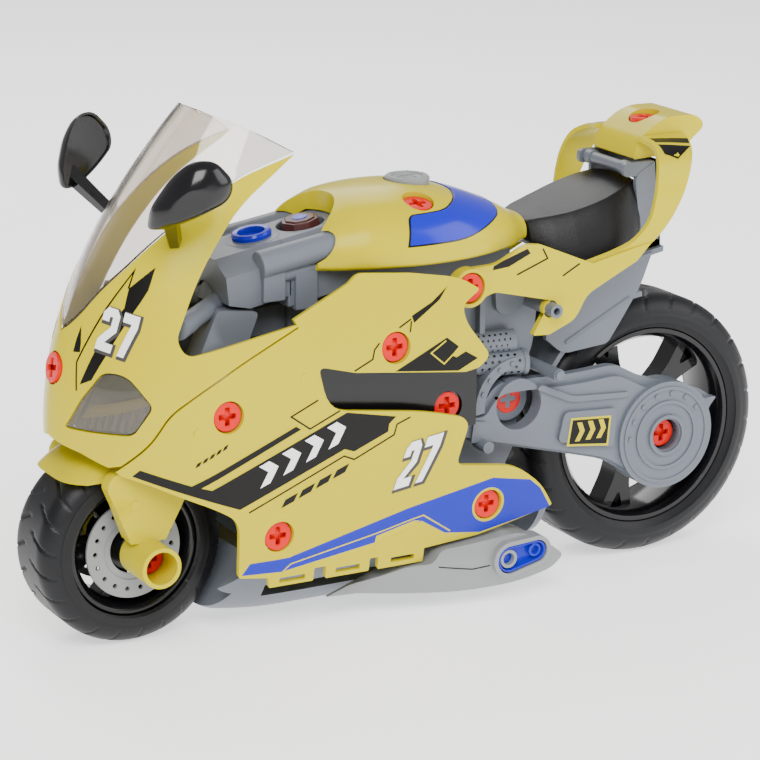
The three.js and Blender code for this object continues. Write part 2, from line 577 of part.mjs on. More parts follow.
function stemBolt() {
  const z = topOfFrame(STEM.x);
  const head = sloped(post(STEM.x, 0, 6.8, z + 0.3, z + 2.6, 24));
  const shank = post(STEM.x, 0, 3, z - 6, z + 1, 12);
  return cut(join(head, shank), post(STEM.x, 0, 4.2, z + 0.9, z + 5, 6));
}

// Eight-sided push button with a guide stem; it sits in a well in the frame.
function hornButton() {
  const z = topOfFrame(BUTTON.x);
  const cap = post(BUTTON.x, 0, BUTTON.radius, 129.6, z + 2.2, 8);
  return join(cap, post(BUTTON.x, 0, 2, 121, 130, 10));
}

const PIVOT = { x: 39.4, z: 66.4, radius: 9 };
const PEGS = [[47.3, 100.6, 2.4], [49, 78, 2.1]];

// One half of the engine and frame casing, with its moulded cylinders, ribs and pegs.
function engineLeft() {
  const plate = sidePlate([[-42, 34, 4], [-42, 94, 6], [-6, 106.4], [52, 102], [50, 84, 3], [44.5, 70],
    [44, 50, 4], [34, 32, 4]], -15, -0.2);
  const well = sidePlate([[-38, 38], [-38, 92], [10, 92], [10, 38]], -13, -0.1);
  const rib = box(27, 29, -18, -14, 88, 104);
  const curve = sidePlate([[33, 106], [34, 99, 4], [44, 99, 4], [45, 103.4]], -17.6, -14);
  const upperCylinder = rod([24, -16.5, 89], [40, -18.6, 88], 3.8, 3.8, 12);
  const lowerCylinder = rod([28, -18, 81], [44, -20.6, 80.4], 4.2, 4.2, 12);
  const plug = join(pinY(18, 76, 5.2, -21, -14, 16), pinY(18, 76, 6.2, -19, -17.4, 16));
  const ring = turned([[-23.4, 16.6], [-23.4, 13], [-14, 13], [-14, 16.6]], PIVOT.x, PIVOT.z, 32);
  const ringPart = ring.intersect(sidePlate([[38, 66.4], [40, 90], [18, 90], [18, 70]], -30, -14));
  const pivotBoss = pinY(PIVOT.x, PIVOT.z, 7.6, -17, -14, 18);
  const pegs = PEGS.map(([x, z, radius]) => pinY(x, z, radius, -34.5, -13, 12));
  const whole = join(plate, rib, curve, upperCylinder, lowerCylinder, plug, ringPart, pivotBoss, ...pegs);
  return cut(whole, well, box(-60, 60, -6.4, 1, 96.6, 112), screwHole([PIVOT.x, -17.4, PIVOT.z], [0, 1, 0], 10),
    pinY(PEGS[0][0], PEGS[0][1], 1.2, -36, -30, 8), screwHole([9.6, -31, 71.6], [0, 1, 0], 14));
}

// Mudguard, seat deck and tail frame in one grey moulding.
function rearSubframe() {
  const tyreRoom = REAR.radius + 1.8;
  const wall = sidePlate([[55, 104.6], [97, 112.4], [92.6, 101], [85.6, 90.4], [79.4, 81.6, 1],
    [61, 80, 2], [54, 86]], -17.6, -15.6);
  const guardRing = turned([[-16.4, tyreRoom], [16.4, tyreRoom], [16.4, tyreRoom + 1.8], [-16.4, tyreRoom + 1.8]],
    REAR.x, REAR.radius, 36);
  const guard = guardRing.intersect(sidePlate([[48, 80], [50, 112], [97, 112], [92, 98], [70, 80]], -20, 20));
  const deck = sidePlate([[53, 103], [53, 105], [102, 114], [102, 112]], -17, 17);
  const upright = sidePlate([[96.4, 111], [98.2, 144.2], [101, 144.2], [102, 112]], -15, 15);
  const lug = sidePlate([[85.6, 139.4, 2], [85.6, 144.2, 2], [99.4, 144.2], [99.4, 139.4]], -15, -13.2);
  const window = box(90, 110, -9, 9, 116, 136);
  const whole = join(wall, mirrored(wall), guard, deck, cut(upright, window), lug, mirrored(lug));
  return cut(whole, post(103.5, 0, 7, 139, 160, 16));
}

// ---------------------------------------------------------------- swingarm
function swingarm() {
  const profile = [[17.8, 56.4, 1], [19, 67.3, 1], [26, 67, 2], [31.6, 74.4, 4], [44, 74.4, 4], [62, 73.8], [80, 75, 3],
    [92, 68.6, 3], [104, 66, 3], [116, 61.6, 1], [122.4, 57.4, 1], [118.6, 53, 2], [119.6, 44, 6], [116, 33, 8],
    [101, 26.4, 8], [88, 33, 4], [76, 41, 4], [60, 45.4, 4], [29, 53.4, 4]];
  const blade = sidePlate(profile, -22, -18.4);
  const outer = sidePlate(profile.map(([x, z, round]) => [x, z > 60 ? z - 3.4 : z, round]), -25, -21.8);
  const hub = pinY(REAR.x, REAR.radius, 19.4, -25.4, -15.6, 28);
  const whole = join(blade, outer, hub);
  return cut(whole,
    pinY(PIVOT.x, PIVOT.z, PIVOT.radius, -30, -10, 20),
    pinY(REAR.x, REAR.radius, 5.6, -30, -19.4, 20),
    pinY(REAR.x, REAR.radius, AXLE_RADIUS + GAP, -30, -10, 16));
}

// ---------------------------------------------------------------- belly and exhaust
// Stations along the belly pan: x, half-width at the top, bottom height.
const BELLY = [[-80, 25, 13], [-72, 28.4, 6], [-55, 30, 3.4], [-30, 30, 3], [0, 29, 3.2], [30, 27, 5.6], [54, 22, 13]];
const BELLY_TOP = 29;

function bellyLoft(inset, top) {
  const x0 = BELLY[0][0];
  const x1 = BELLY.at(-1)[0];
  const geometry = new THREE.BoxGeometry(x1 - x0, 2, 1, 9, 8, 1);
  geometry.translate((x0 + x1) / 2, 0, 0.5);
  const curves = [1, 2].map((k) => new THREE.SplineCurve(BELLY.map((row) => new THREE.Vector2(row[0], row[k]))));
  const place = geometry.getAttribute('position');
  for (let i = 0; i < place.count; i += 1) {
    const x = place.getX(i);
    const [half, bottom] = curves.map((curve) => valueAt(curve, x));
    const across = place.getY(i);
    const low = bottom + inset + (top - bottom - inset) * Math.abs(across) ** 4.5;
    place.setY(i, across * (half - inset));
    place.setZ(i, place.getZ(i) > 0.5 ? top + (inset > 0 ? 4 : 0.4) : low);
  }
  return solid(geometry);
}

const MUFFLER_FRONT = [[-32, 3], [-8.6, 18.2], [0, 19], [4, 30]];

function bellyPan() {
  const shell = cut(bellyLoft(0, BELLY_TOP), bellyLoft(2, BELLY_TOP));
  const tyreRoom = pinY(FRONT.x, FRONT.radius, FRONT.radius + 3, -21.5, 21.5, 40);
  const mufflerRoom = sidePlate([...MUFFLER_FRONT, [70, 30], [70, 0]], -60, -22);
  const rib = box(-20, 40, -6, 6, 4, 24);
  return cut(join(shell, rib.intersect(bellyLoft(0.5, 24))), tyreRoom, mufflerRoom, mirrored(mufflerRoom));
}

const OUTLET = { front: [27.4, 17.4], rear: [38.6, 19.4], frontRadius: 4.9, rearRadius: 3.9 };

// The oval of the exhaust outlet, grown by `grow`.
function outletOval(grow, y0, y1) {
  const [x0, z0] = OUTLET.front;
  const [x1, z1] = OUTLET.rear;
  const r0 = OUTLET.frontRadius + grow;
  const r1 = OUTLET.rearRadius + grow;
  return join(pinY(x0, z0, r0, y0, y1, 20), pinY(x1, z1, r1, y0, y1, 20),
    sidePlate([[x0, z0 - r0], [x1, z1 - r1], [x1, z1 + r1], [x0, z0 + r0]], y0, y1));
}

function mufflerLeft() {
  const side = sidePlate([[-31, 3.6], [-8.2, 17.8], [0, 18.2], [3.4, 22.6, 2], [20, 24.2], [36, 25.6, 5],
    [46, 21, 3], [55, 15.2, 2], [50, 10.4, 3], [36, 5.4, 8], [16, 3.4, 6]], -60, -10);
  const geometry = new THREE.BoxGeometry(88, 1, 24, 10, 1, 4);
  geometry.translate(12, 0, 15);
  const place = geometry.getAttribute('position');
  for (let i = 0; i < place.count; i += 1) {
    const x = place.getX(i);
    const z = place.getZ(i);
    const bulge = 39 - 0.0045 * (x - 30) ** 2 - 0.035 * (z - 17) ** 2;
    place.setY(i, place.getY(i) < 0 ? -Math.max(bulge, 24) : -22.6);
  }
  const body = solid(geometry).intersect(side);
  const pod = outletOval(1.9, -40.6, -36);
  return cut(join(body, pod), outletOval(GAP, -50, -36.6));
}

function exhaustOutlet() {
  const [x, z] = OUTLET.front;
  const [rearX, rearZ] = OUTLET.rear;
  return cut(outletOval(0, -40, -37), pinY(x, z, 3.2, -42, -38, 16), pinY(rearX, rearZ, 1.9, -42, -38, 12));
}

// ---------------------------------------------------------------- axles
function frontAxle() {
  const bar = pinY(FRONT.x, FRONT.radius, AXLE_RADIUS, -20.4, 20.4, 16);
  const socket = SCREW.shank + GAP;
  return cut(bar, pinY(FRONT.x, FRONT.radius, socket, -25, -14, 8), pinY(FRONT.x, FRONT.radius, socket, 14, 25, 8));
}

function rearAxle() {
  const bar = pinY(REAR.x, REAR.radius, AXLE_RADIUS, -18.8, 14.6, 16);
  const nut = pinY(REAR.x, REAR.radius, 6, 12.6, 16.6, 6);
  return cut(join(bar, nut), pinY(REAR.x, REAR.radius, SCREW.shank + GAP, -25, -13, 8));
}

// ---------------------------------------------------------------- assembly
const motorcycle = new THREE.Group();

function add(name, manifold, material) {
  const geometry = toGeometry(manifold);
  geometry.computeVertexNormals();
  const mesh = new THREE.Mesh(geometry, material());
  mesh.name = name;
  motorcycle.add(mesh);
}

function addPair(name, left, material) {
  add(`${name}_left`, left, material);
  add(`${name}_right`, mirrored(left), material);
}

add('airbox_frame', airbox(), grey);
addPair('engine_half', engineLeft(), grey);
add('rear_subframe', rearSubframe(), grey);
add('steering_yoke', forkYoke(), grey);
add('fork_and_mudguard', forkFender(), yellow);
add('stem_bolt', stemBolt(), blue);
add('horn_button', hornButton(), brown);
add('front_tyre', tyre(FRONT), rubber);
add('front_rim', rim(FRONT, 5, 8, 9.4), black);
addPair('brake_disc', brakeDisc(), silver);
add('front_axle', frontAxle(), silver);
add('rear_tyre', tyre(REAR), rubber);
add('rear_rim', rim(REAR, 5, 10, 12), black);
add('rear_axle', rearAxle(), silver);
add('swingarm', swingarm(), grey);
add('nose_cowl', noseCowl(), yellow);
add('windshield', windshield(), smoke);
addPair('headlight', headlightLens(), smoke);
addPair('mirror', mirror(), black);
addPair('side_fairing', sideFairing(), yellow);
addPair('vent_panel', ventPanel(), black);
add('tank_shell', tankShell(), yellow);
add('tank_panel', tankPanel(), blue);
add('filler_cap', fillerCap(), silver);
add('seat', seat(), black);
addPair('tail_panel', tailPanel(), yellow);
add('tail_hump', tailHump(), yellow);
add('tail_rod', tailRod(), grey);
add('belly_pan', bellyPan(), grey);
addPair('muffler', mufflerLeft(), silver);
addPair('exhaust_outlet', exhaustOutlet(), blue);

add('nose_screw', screw(NOSE_SCREW.at, NOSE_SCREW.axis), red);
addPair('tank_screw', screw([1.3, -19, 139.7], [0, 0.25, -1], 5), red);
FAIRING_SCREWS.forEach(([x, z], i) => {
  addPair(`fairing_screw_${i + 1}`, screw([x, SINK + 0.1 - halfWidth(x, z), z], [0, 1, 0], 5), red);
});
addPair('tail_screw', screw([14.4, -32.2, 112], [0, 1, 0], 5), red);
addPair('vent_screw', screw([9.6, -31.2, 71.6], [0, 1, 0], 5), red);
add('hump_screw', screw([103.5, 0, 157], [0, 0, -1], 6), red);
add('pivot_screw', screw([PIVOT.x, -17.2, PIVOT.z], [0, 1, 0], 5), red);
add('rear_hub_screw', screw([REAR.x, -22.6, REAR.radius], [0, 1, 0], 5), red);
addPair('front_axle_screw', screw([FRONT.x, -26, FRONT.radius], [0, 1, 0], 7), red);

// The origin sits on the ground under the middle of the whole bike.
const extent = new THREE.Box3().setFromObject(motorcycle);
motorcycle.position.x = -(extent.min.x + extent.max.x) / 2;

export default motorcycle;
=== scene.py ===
"""A take-apart toy racing motorcycle: the looks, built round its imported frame.

Shapes are written in millimetres in the design frame: nose to -X, the rider's left to -Y, ground at
Z = 0 and X = 0 at the middle of the wheelbase. place() puts them in the row frame, in metres.
"""

import math

import bmesh
import bpy
import numpy as np
from mathutils import Matrix, Vector
from mathutils.geometry import delaunay_2d_cdt


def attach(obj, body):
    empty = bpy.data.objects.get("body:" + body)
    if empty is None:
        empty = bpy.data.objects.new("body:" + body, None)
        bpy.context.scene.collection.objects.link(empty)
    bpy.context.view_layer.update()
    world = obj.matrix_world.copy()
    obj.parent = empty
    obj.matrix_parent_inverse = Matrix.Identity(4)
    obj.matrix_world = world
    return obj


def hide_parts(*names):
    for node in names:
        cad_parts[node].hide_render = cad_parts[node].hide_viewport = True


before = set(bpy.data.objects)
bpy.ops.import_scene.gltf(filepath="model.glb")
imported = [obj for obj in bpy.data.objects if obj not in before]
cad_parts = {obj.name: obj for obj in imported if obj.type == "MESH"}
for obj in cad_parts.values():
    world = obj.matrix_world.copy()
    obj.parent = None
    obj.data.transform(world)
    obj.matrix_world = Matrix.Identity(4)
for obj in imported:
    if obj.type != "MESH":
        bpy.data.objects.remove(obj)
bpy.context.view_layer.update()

# ---------------------------------------------------------------- driving dimensions
MM = 0.001
SHIFT = -7.5  # the row frame's origin is at the middle of the whole bike
WALL = 1.8
FRONT = {"x": -100, "radius": 32.5, "half": 14.4, "rim": 22.5}
REAR = {"x": 100, "radius": 47.5, "half": 14.7, "rim": 35.5}
RAKE = math.radians(24)
STEM = (-50.5, 131)
DECAL = 0.08  # how far a printed mark stands off its panel
SCREW_HEAD = 5.0
SCREW_HOLE = 5.4
SINK = 1.0  # how deep the fairing's screws sit
PIVOT = (39.4, 66.4)  # the swingarm's pivot, in side view
TOP_SLOPE = 0.18  # how fast the top of the frame rises towards the rear
BUTTON_X = -32.6
SHARP = math.radians(40)  # edges bent by more than this are drawn sharp


def place(points):
    return [((x + SHIFT) * MM, y * MM, z * MM) for x, y, z in points]


# ---------------------------------------------------------------- body surface
NOSE_LENGTH = 45
ARC = 0.78  # millimetres of nose surface for one degree round it
NOSE_POWER = 2.2  # how blunt the nose is from above, front to back and side to side
SIDE_POWER = 1.6


def nose_x(z):
    return -124.3 + 0.0044 * (z - 72) ** 2


def side_half(z):
    return 38 - 0.0019 * (z - 75) ** 2


def half_width(x, z):
    forward = min(max((nose_x(z) + NOSE_LENGTH - x) / NOSE_LENGTH, 0), 1)
    taper = 0.0012 * max(x - 20, 0) ** 2
    return side_half(z) * (1 - forward ** NOSE_POWER) ** (1 / SIDE_POWER) - taper


def on_side(x, z, depth=0):
    """A point on the left body side, from its side view place."""
    return (x, depth - half_width(x, z), z)


def on_nose(turn, z, depth=0):
    """A point on the nose: turn is 0 at the middle, 90 where the left side runs straight back."""
    sweep = math.radians(min(abs(turn), 90))
    beyond = max(abs(turn) - 90, 0) * ARC
    forward = math.cos(sweep) ** (2 / NOSE_POWER) * (NOSE_LENGTH - depth)
    out = math.sin(sweep) ** (2 / SIDE_POWER) * (side_half(z) - depth)
    return (nose_x(z) + NOSE_LENGTH - forward + beyond, -math.copysign(out, turn), z)


def nose_turn(x, z):
    """The turn round the nose at which its surface has this side view place."""
    forward = (nose_x(z) + NOSE_LENGTH - x) / NOSE_LENGTH
    if forward <= 0:
        return 90 - forward * NOSE_LENGTH / ARC
    return math.degrees(math.acos(min(forward, 1) ** (NOSE_POWER / 2)))


# ---------------------------------------------------------------- flat outlines
def rounded(points, steps=5):
    """Rounds each corner that has a third number, its radius."""
    out = []
    for i, point in enumerate(points):
        here = Vector(point[:2])
        radius = point[2] if len(point) > 2 else 0
        if not radius:
            out.append(tuple(here))
            continue
        before = Vector(points[i - 1][:2]) - here
        after = Vector(points[(i + 1) % len(points)][:2]) - here
        reach = min(radius, 0.48 * before.length, 0.48 * after.length)
        enter = here + before.normalized() * reach
        leave = here + after.normalized() * reach
        for k in range(steps + 1):
            t = k / steps
            out.append(tuple(enter * (1 - t) ** 2 + here * 2 * t * (1 - t) + leave * t ** 2))
    return out


def circle(x, z, radius, sides=28):
    return [(x + radius * math.cos(k * math.tau / sides), z + radius * math.sin(k * math.tau / sides))
            for k in range(sides)]


def rectangle(x0, x1, z0, z1, radius=0):
    return rounded([(x0, z0, radius), (x1, z0, radius), (x1, z1, radius), (x0, z1, radius)])


def hull_of_two(one, two, sides=20):
    """The outline round two circles whose centres are level or nearly so."""
    (x0, z0, r0), (x1, z1, r1) = one, two
    lean = math.atan2(z1 - z0, x1 - x0)
    points = []
    for (x, z, r), start in (((x0, z0, r0), lean + math.pi / 2), ((x1, z1, r1), lean - math.pi / 2)):
        points += [(x + r * math.cos(start + math.pi * k / sides),
                    z + r * math.sin(start + math.pi * k / sides))
                   for k in range(sides + 1)]
    return points


def stroke(points, width, closed=False):
    """The outline of a line of even width through the points."""
    sides = ([], [])
    for i, point in enumerate(points):
        here = Vector(point)
        before = here - Vector(points[i - 1]) if i or closed else None
        after = Vector(points[(i + 1) % len(points)]) - here if i < len(points) - 1 or closed else None
        way = sum((d.normalized() for d in (before, after) if d), Vector((0, 0))).normalized()
        across = Vector((-way.y, way.x))
        bend = across.dot(Vector((-after.y, after.x)).normalized()) if after and before else 1
        sides[0].append(tuple(here + across * width / 2 / max(bend, 0.4)))
        sides[1].append(tuple(here - across * width / 2 / max(bend, 0.4)))
    return [sides[0], sides[1]] if closed else [sides[0] + sides[1][::-1]]


def grown(loop, amount, offset=(0, 0)):
    """The outline pushed out by an even amount, then moved."""
    area = sum(a[0] * b[1] - b[0] * a[1] for a, b in zip(loop, loop[1:] + loop[:1]))
    turn = 1 if area > 0 else -1
    out = []
    for i, here in enumerate(loop):
        one = (Vector(here) - Vector(loop[i - 1])).normalized()
        two = (Vector(loop[(i + 1) % len(loop)]) - Vector(here)).normalized()
        normal = Vector((one.y + two.y, -one.x - two.x)).normalized() * turn
        reach = amount / max(abs(normal.dot(Vector((one.y, -one.x)))), 0.5)
        out.append((here[0] + normal.x * reach + offset[0], here[1] + normal.y * reach + offset[1]))
    return out


def subdivided(loop, step):
    out = []
    for i, a in enumerate(loop):
        b = loop[(i + 1) % len(loop)]
        count = max(1, math.ceil(math.dist(a, b) / step))
        out += [(a[0] + (b[0] - a[0]) * k / count, a[1] + (b[1] - a[1]) * k / count) for k in range(count)]
    return out


def inside(points, loops):
    """Which of the points lie inside the first loop and outside the holes."""
    u, v = points[:, 0], points[:, 1]
    odd = np.zeros(len(points), bool)
    for loop in loops:
        for (u0, v0), (u1, v1) in zip(loop, loop[1:] + loop[:1]):
            crosses = (v0 > v) != (v1 > v)
            with np.errstate(divide="ignore", invalid="ignore"):
                odd ^= crosses & (u < (u1 - u0) * (v - v0) / (v1 - v0) + u0)
    return odd


def filled(loops, step):
    """Triangles that fill an outline with holes, with points inside at about `step` spacing."""
    loops = [subdivided(loop, step) for loop in loops]
    points = [point for loop in loops for point in loop]
    edges = []
    start = 0
    for loop in loops:
        edges += [(start + k, start + (k + 1) % len(loop)) for k in range(len(loop))]
        start += len(loop)
    rim = np.array(points)
    low, high = rim.min(0), rim.max(0)
    u, v = np.meshgrid(np.arange(low[0] + step / 2, high[0], step),
                       np.arange(low[1] + step / 2, high[1], step))
    grid = np.column_stack([u.ravel(), v.ravel()])
    grid = grid[inside(grid, loops)] if len(grid) else grid
    if len(grid):
        gap = np.sqrt(((grid[:, None] - rim[None]) ** 2).sum(2)).min(1)
        grid = grid[gap > 0.55 * step]
    everything = [Vector(p) for p in points] + [Vector(p) for p in grid]
    verts, _, faces, *_ = delaunay_2d_cdt(everything, edges, [], 0, 1e-5)
    verts = [tuple(v) for v in verts]
    middles = np.array([[sum(verts[i][k] for i in face) / 3 for k in (0, 1)] for face in faces])
    kept = [list(face) for face, good in zip(faces, inside(middles, loops)) if good]
    return verts, kept


# ---------------------------------------------------------------- solid shapes: (points, faces)
def sheet(loops, surface, step=3.0, depth=0.0):
    """A panel's outer face: the filled outline laid on a surface."""
    verts, faces = filled(loops, step)
    return [surface(u, v, depth) for u, v in verts], faces


def plate(loops, front, back, step=9.0):
    """An outline in side view with thickness, and through holes. front and back are each a Y value
    or a rule that gives Y at (x, z)."""
    verts, faces = filled(loops, step)
    count = len(verts)
    front_y, back_y = (face if callable(face) else (lambda x, z, y=face: y) for face in (front, back))
    points = [(x, front_y(x, z), z) for x, z in verts] + [(x, back_y(x, z), z) for x, z in verts]
    rim = {}
    for a, b, c in faces:
        for edge in ((a, b), (b, c), (c, a)):
            rim[edge] = rim.get(edge, 0) + 1
    walls = [[b, a, a + count, b + count] for a, b in rim if (b, a) not in rim]
    return points, [f[:] for f in faces] + [[i + count for i in f[::-1]] for f in faces] + walls


def beam(section, x0, x1, slope=0.0):
    """A front view (y, z) outline given length along X; slope lifts it towards the rear."""
    points, faces = plate([section], x0, x1)
    return [(y, x, z + slope * (y - STEM[0])) for x, y, z in points], faces


def box(x0, x1, y0, y1, z0, z1):
    return plate([rectangle(x0, x1, z0, z1)], y0, y1, 99)


def rod(start, end, radius, end_radius=None, sides=24):
    start, end = Vector(start), Vector(end)
    end_radius = radius if end_radius is None else end_radius
    way = (end - start).normalized()
    one = way.orthogonal().normalized()
    two = way.cross(one)
    points = []
    for centre, r in ((start, radius), (end, end_radius)):
        for k in range(sides):
            angle = k * math.tau / sides
            points.append(tuple(centre + one * r * math.cos(angle) + two * r * math.sin(angle)))
    around = [[k, (k + 1) % sides, sides + (k + 1) % sides, sides + k] for k in range(sides)]
    return points, around + [list(range(sides))[::-1], list(range(sides, 2 * sides))]


def pin(x, z, radius, y0, y1, sides=28):
    return rod((x, y0, z), (x, y1, z), radius, radius, sides)


def turned(profile, x, z, sides=96, hollow=None):
    """A closed profile of (y, radius) turned about the Y axis through (x, z)."""
    points = []
    for k in range(sides):
        angle = k * math.tau / sides
        for y, r in profile:
            less = hollow(angle, y, r) if hollow else 0
            points.append((x + (r - less) * math.sin(angle), y, z + (r - less) * math.cos(angle)))
    n = len(profile)
    faces = [[k * n + i, k * n + (i + 1) % n, ((k + 1) % sides) * n + (i + 1) % n, ((k + 1) % sides) * n + i]
             for k in range(sides) for i in range(n)]
    return points, faces


def lofted(rows):
    """A skin over rings of points, all the same length, with both ends closed."""
    n = len(rows[0])
    points = [point for row in rows for point in row]
    faces = [[k * n + i, k * n + (i + 1) % n, (k + 1) * n + (i + 1) % n, (k + 1) * n + i]
             for k in range(len(rows) - 1) for i in range(n)]
    return points, faces + [list(range(n))[::-1], list(range(len(points) - n, len(points)))]


def moved(shape, matrix):
    points, faces = shape
    return [tuple(matrix @ Vector(p)) for p in points], faces


def mirrored(shape):
    points, faces = shape
    return [(x, -y, z) for x, y, z in points], [face[::-1] for face in faces]


def both(shapes):
    return shapes + [mirrored(shape) for shape in shapes]


def smooth_rows(stations, count):
    """Stations interpolated with a Catmull-Rom curve, evenly in their first column."""
    table = np.array(stations, float)
    xs = np.linspace(table[0, 0], table[-1, 0], count)
    out = []
    for x in xs:
        i = int(min(max(np.searchsorted(table[:, 0], x) - 1, 0), len(table) - 2))
        p0, p1, p2, p3 = (table[min(max(k, 0), len(table) - 1)] for k in (i - 1, i, i + 1, i + 2))
        t = (x - p1[0]) / (p2[0] - p1[0])
        value = 0.5 * (2 * p1 + (p2 - p0) * t + (2 * p0 - 5 * p1 + 4 * p2 - p3) * t ** 2
                       + (3 * p1 - p0 - 3 * p2 + p3) * t ** 3)
        value[0] = x
        out.append(value)
    return out


# ---------------------------------------------------------------- visible pieces
def linked(name, data):
    """A new object in the scene."""
    obj = bpy.data.objects.new(name, data)
    bpy.context.scene.collection.objects.link(obj)
    return obj


def built(name, points, faces, outward=None):
    """A mesh with its doubled points joined. Closed skins face out, and open ones face `outward`."""
    mesh = bpy.data.meshes.new(name)
    mesh.from_pydata(place(points), [], faces)
    work = bmesh.new()
    work.from_mesh(mesh)
    bmesh.ops.remove_doubles(work, verts=work.verts, dist=1e-6)
    if outward is None:
        bmesh.ops.recalc_face_normals(work, faces=work.faces)
    elif sum((f.normal * f.calc_area() for f in work.faces), Vector()).dot(Vector(outward)) < 0:
        bmesh.ops.reverse_faces(work, faces=work.faces)
    work.to_mesh(mesh)
    work.free()
    return mesh


def piece(name, shapes, material, body, stands_for=(), slot=None, bevel=0.0, wall=0.0, outward=None):
    """One visible piece made of shapes, riding its body and standing for its CAD nodes."""
    verts, faces = [], []
    for points, polygons in shapes:
        base = len(verts)
        verts += points
        faces += [[i + base for i in face] for face in polygons]
    mesh = built(name, verts, faces, outward)
    mesh.shade_smooth()
    mesh.materials.append(material)
    obj = linked(name, mesh)
    if wall:
        solidify = obj.modifiers.new("wall", "SOLIDIFY")
        solidify.thickness = wall * MM
        solidify.offset = -1
    if bevel:
        add_bevel(obj, bevel)
    else:
        mesh.set_sharp_from_angle(angle=SHARP)
    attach(obj, body)
    if stands_for:
        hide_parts(*stands_for)
    return obj


def add_bevel(obj, width, angle=32):
    bevel = obj.modifiers.new("edges", "BEVEL")
    bevel.width = width * MM
    bevel.segments = 2
    bevel.limit_method = "ANGLE"
    bevel.angle_limit = math.radians(angle)
    bevel.harden_normals = True


def pair(name, shapes, material, body, nodes=(), outward=None, **more):
    """The same piece on the left and, mirrored, on the right."""
    for side in ("left", "right"):
        turn = outward
        made = shapes
        if side == "right":
            made = [mirrored(shape) for shape in shapes]
            turn = (outward[0], -outward[1], outward[2]) if outward else None
        piece(f"{name}_{side}", made, material, body, [f"{node}_{side}" for node in nodes], outward=turn,
              **more)


# ---------------------------------------------------------------- materials
def plastic(name, color, rough=0.3, tone=0.05, grain=900, bump=0.06, coat=0.0, clear=0.0, shine=0.3):
    """Moulded plastic: slightly uneven tone and gloss, and a fine skin texture."""
    material = bpy.data.materials.new(name)
    material.use_nodes = True
    nodes, links = material.node_tree.nodes, material.node_tree.links
    shader = nodes["Principled BSDF"]
    place_on = nodes.new("ShaderNodeTexCoord")
    clouds = nodes.new("ShaderNodeTexNoise")
    clouds.inputs["Scale"].default_value = 22
    clouds.inputs["Detail"].default_value = 5
    links.new(place_on.outputs["Object"], clouds.inputs["Vector"])
    shade = nodes.new("ShaderNodeMix")
    shade.data_type = "RGBA"
    shade.inputs[6].default_value = (*(c * (1 - tone) for c in color), 1)
    shade.inputs[7].default_value = (*(min(c * (1 + tone), 1) for c in color), 1)
    links.new(clouds.outputs["Fac"], shade.inputs[0])
    links.new(shade.outputs[2], shader.inputs["Base Color"])
    gloss = nodes.new("ShaderNodeMapRange")
    gloss.inputs["To Min"].default_value = rough * 0.8
    gloss.inputs["To Max"].default_value = rough * 1.25
    links.new(clouds.outputs["Fac"], gloss.inputs["Value"])
    links.new(gloss.outputs["Result"], shader.inputs["Roughness"])
    skin = nodes.new("ShaderNodeTexNoise")
    skin.inputs["Scale"].default_value = grain
    skin.inputs["Detail"].default_value = 3
    links.new(place_on.outputs["Object"], skin.inputs["Vector"])
    relief = nodes.new("ShaderNodeBump")
    relief.inputs["Strength"].default_value = bump
    relief.inputs["Distance"].default_value = 0.0003
    links.new(skin.outputs["Fac"], relief.inputs["Height"])
    links.new(relief.outputs["Normal"], shader.inputs["Normal"])
    shader.inputs["Coat Weight"].default_value = coat
    shader.inputs["Coat Roughness"].default_value = 0.08
    shader.inputs["Transmission Weight"].default_value = clear
    shader.inputs["IOR"].default_value = 1.49
    shader.inputs["Specular IOR Level"].default_value = shine
    return material


YELLOW = plastic("yellow_plastic", (0.58, 0.48, 0.0), rough=0.22, tone=0.03, grain=500, bump=0.02, shine=0.15)
GREY = plastic("grey_plastic", (0.135, 0.15, 0.178), rough=0.36, bump=0.1)
SILVER = plastic("silver_plastic", (0.25, 0.26, 0.262), rough=0.3, bump=0.06)
BLUE = plastic("blue_plastic", (0.006, 0.010, 0.50), rough=0.18, bump=0.03)
RED = plastic("red_plastic", (0.70, 0.003, 0.0), rough=0.2, bump=0.03, shine=0.25)
RUBBER = plastic("tyre_rubber", (0.0045, 0.0047, 0.006), rough=0.42, tone=0.25, grain=1400, bump=0.2)
BLACK = plastic("gloss_black", (0.004, 0.004, 0.005), rough=0.16, tone=0.2, grain=600, bump=0.03, shine=0.4)
SADDLE = plastic("saddle_black", (0.0055, 0.0055, 0.0065), rough=0.42, tone=0.25, grain=1800, bump=0.4)
SMOKE = plastic("smoked_clear", (0.78, 0.72, 0.66), rough=0.05, tone=0.01, grain=60, bump=0.01, clear=0.95)
LENS = plastic("smoked_lens", (0.46, 0.42, 0.33), rough=0.06, tone=0.02, grain=60, bump=0.01, clear=0.9)
BROWN = plastic("brown_plastic", (0.075, 0.022, 0.02), rough=0.35, bump=0.1)
INK_BLACK = plastic("printed_black", (0.005, 0.0045, 0.004), rough=0.3, tone=0.2, bump=0.03, shine=0.2)
INK_WHITE = plastic("printed_white", (0.95, 0.95, 0.95), rough=0.3, tone=0.02, bump=0.03)
INK_GREY = plastic("printed_grey", (0.06, 0.055, 0.05), rough=0.3, tone=0.05, bump=0.03, shine=0.2)
INK_BLUE = plastic("printed_blue", (0.012, 0.018, 0.42), rough=0.25, tone=0.03, bump=0.03, shine=0.2)
INK_YELLOW = plastic("printed_yellow", (0.6, 0.5, 0.0), rough=0.28, tone=0.02, bump=0.03, shine=0.2)
FLOOR = plastic("studio_floor", (0.95, 0.95, 0.95), rough=0.6, tone=0.003, grain=80, bump=0.0)
FLOOR_GLOW = FLOOR.node_tree.nodes["Principled BSDF"].inputs
FLOOR_GLOW["Emission Color"].default_value = (1, 1, 1, 1)
FLOOR_GLOW["Emission Strength"].default_value = 1.0


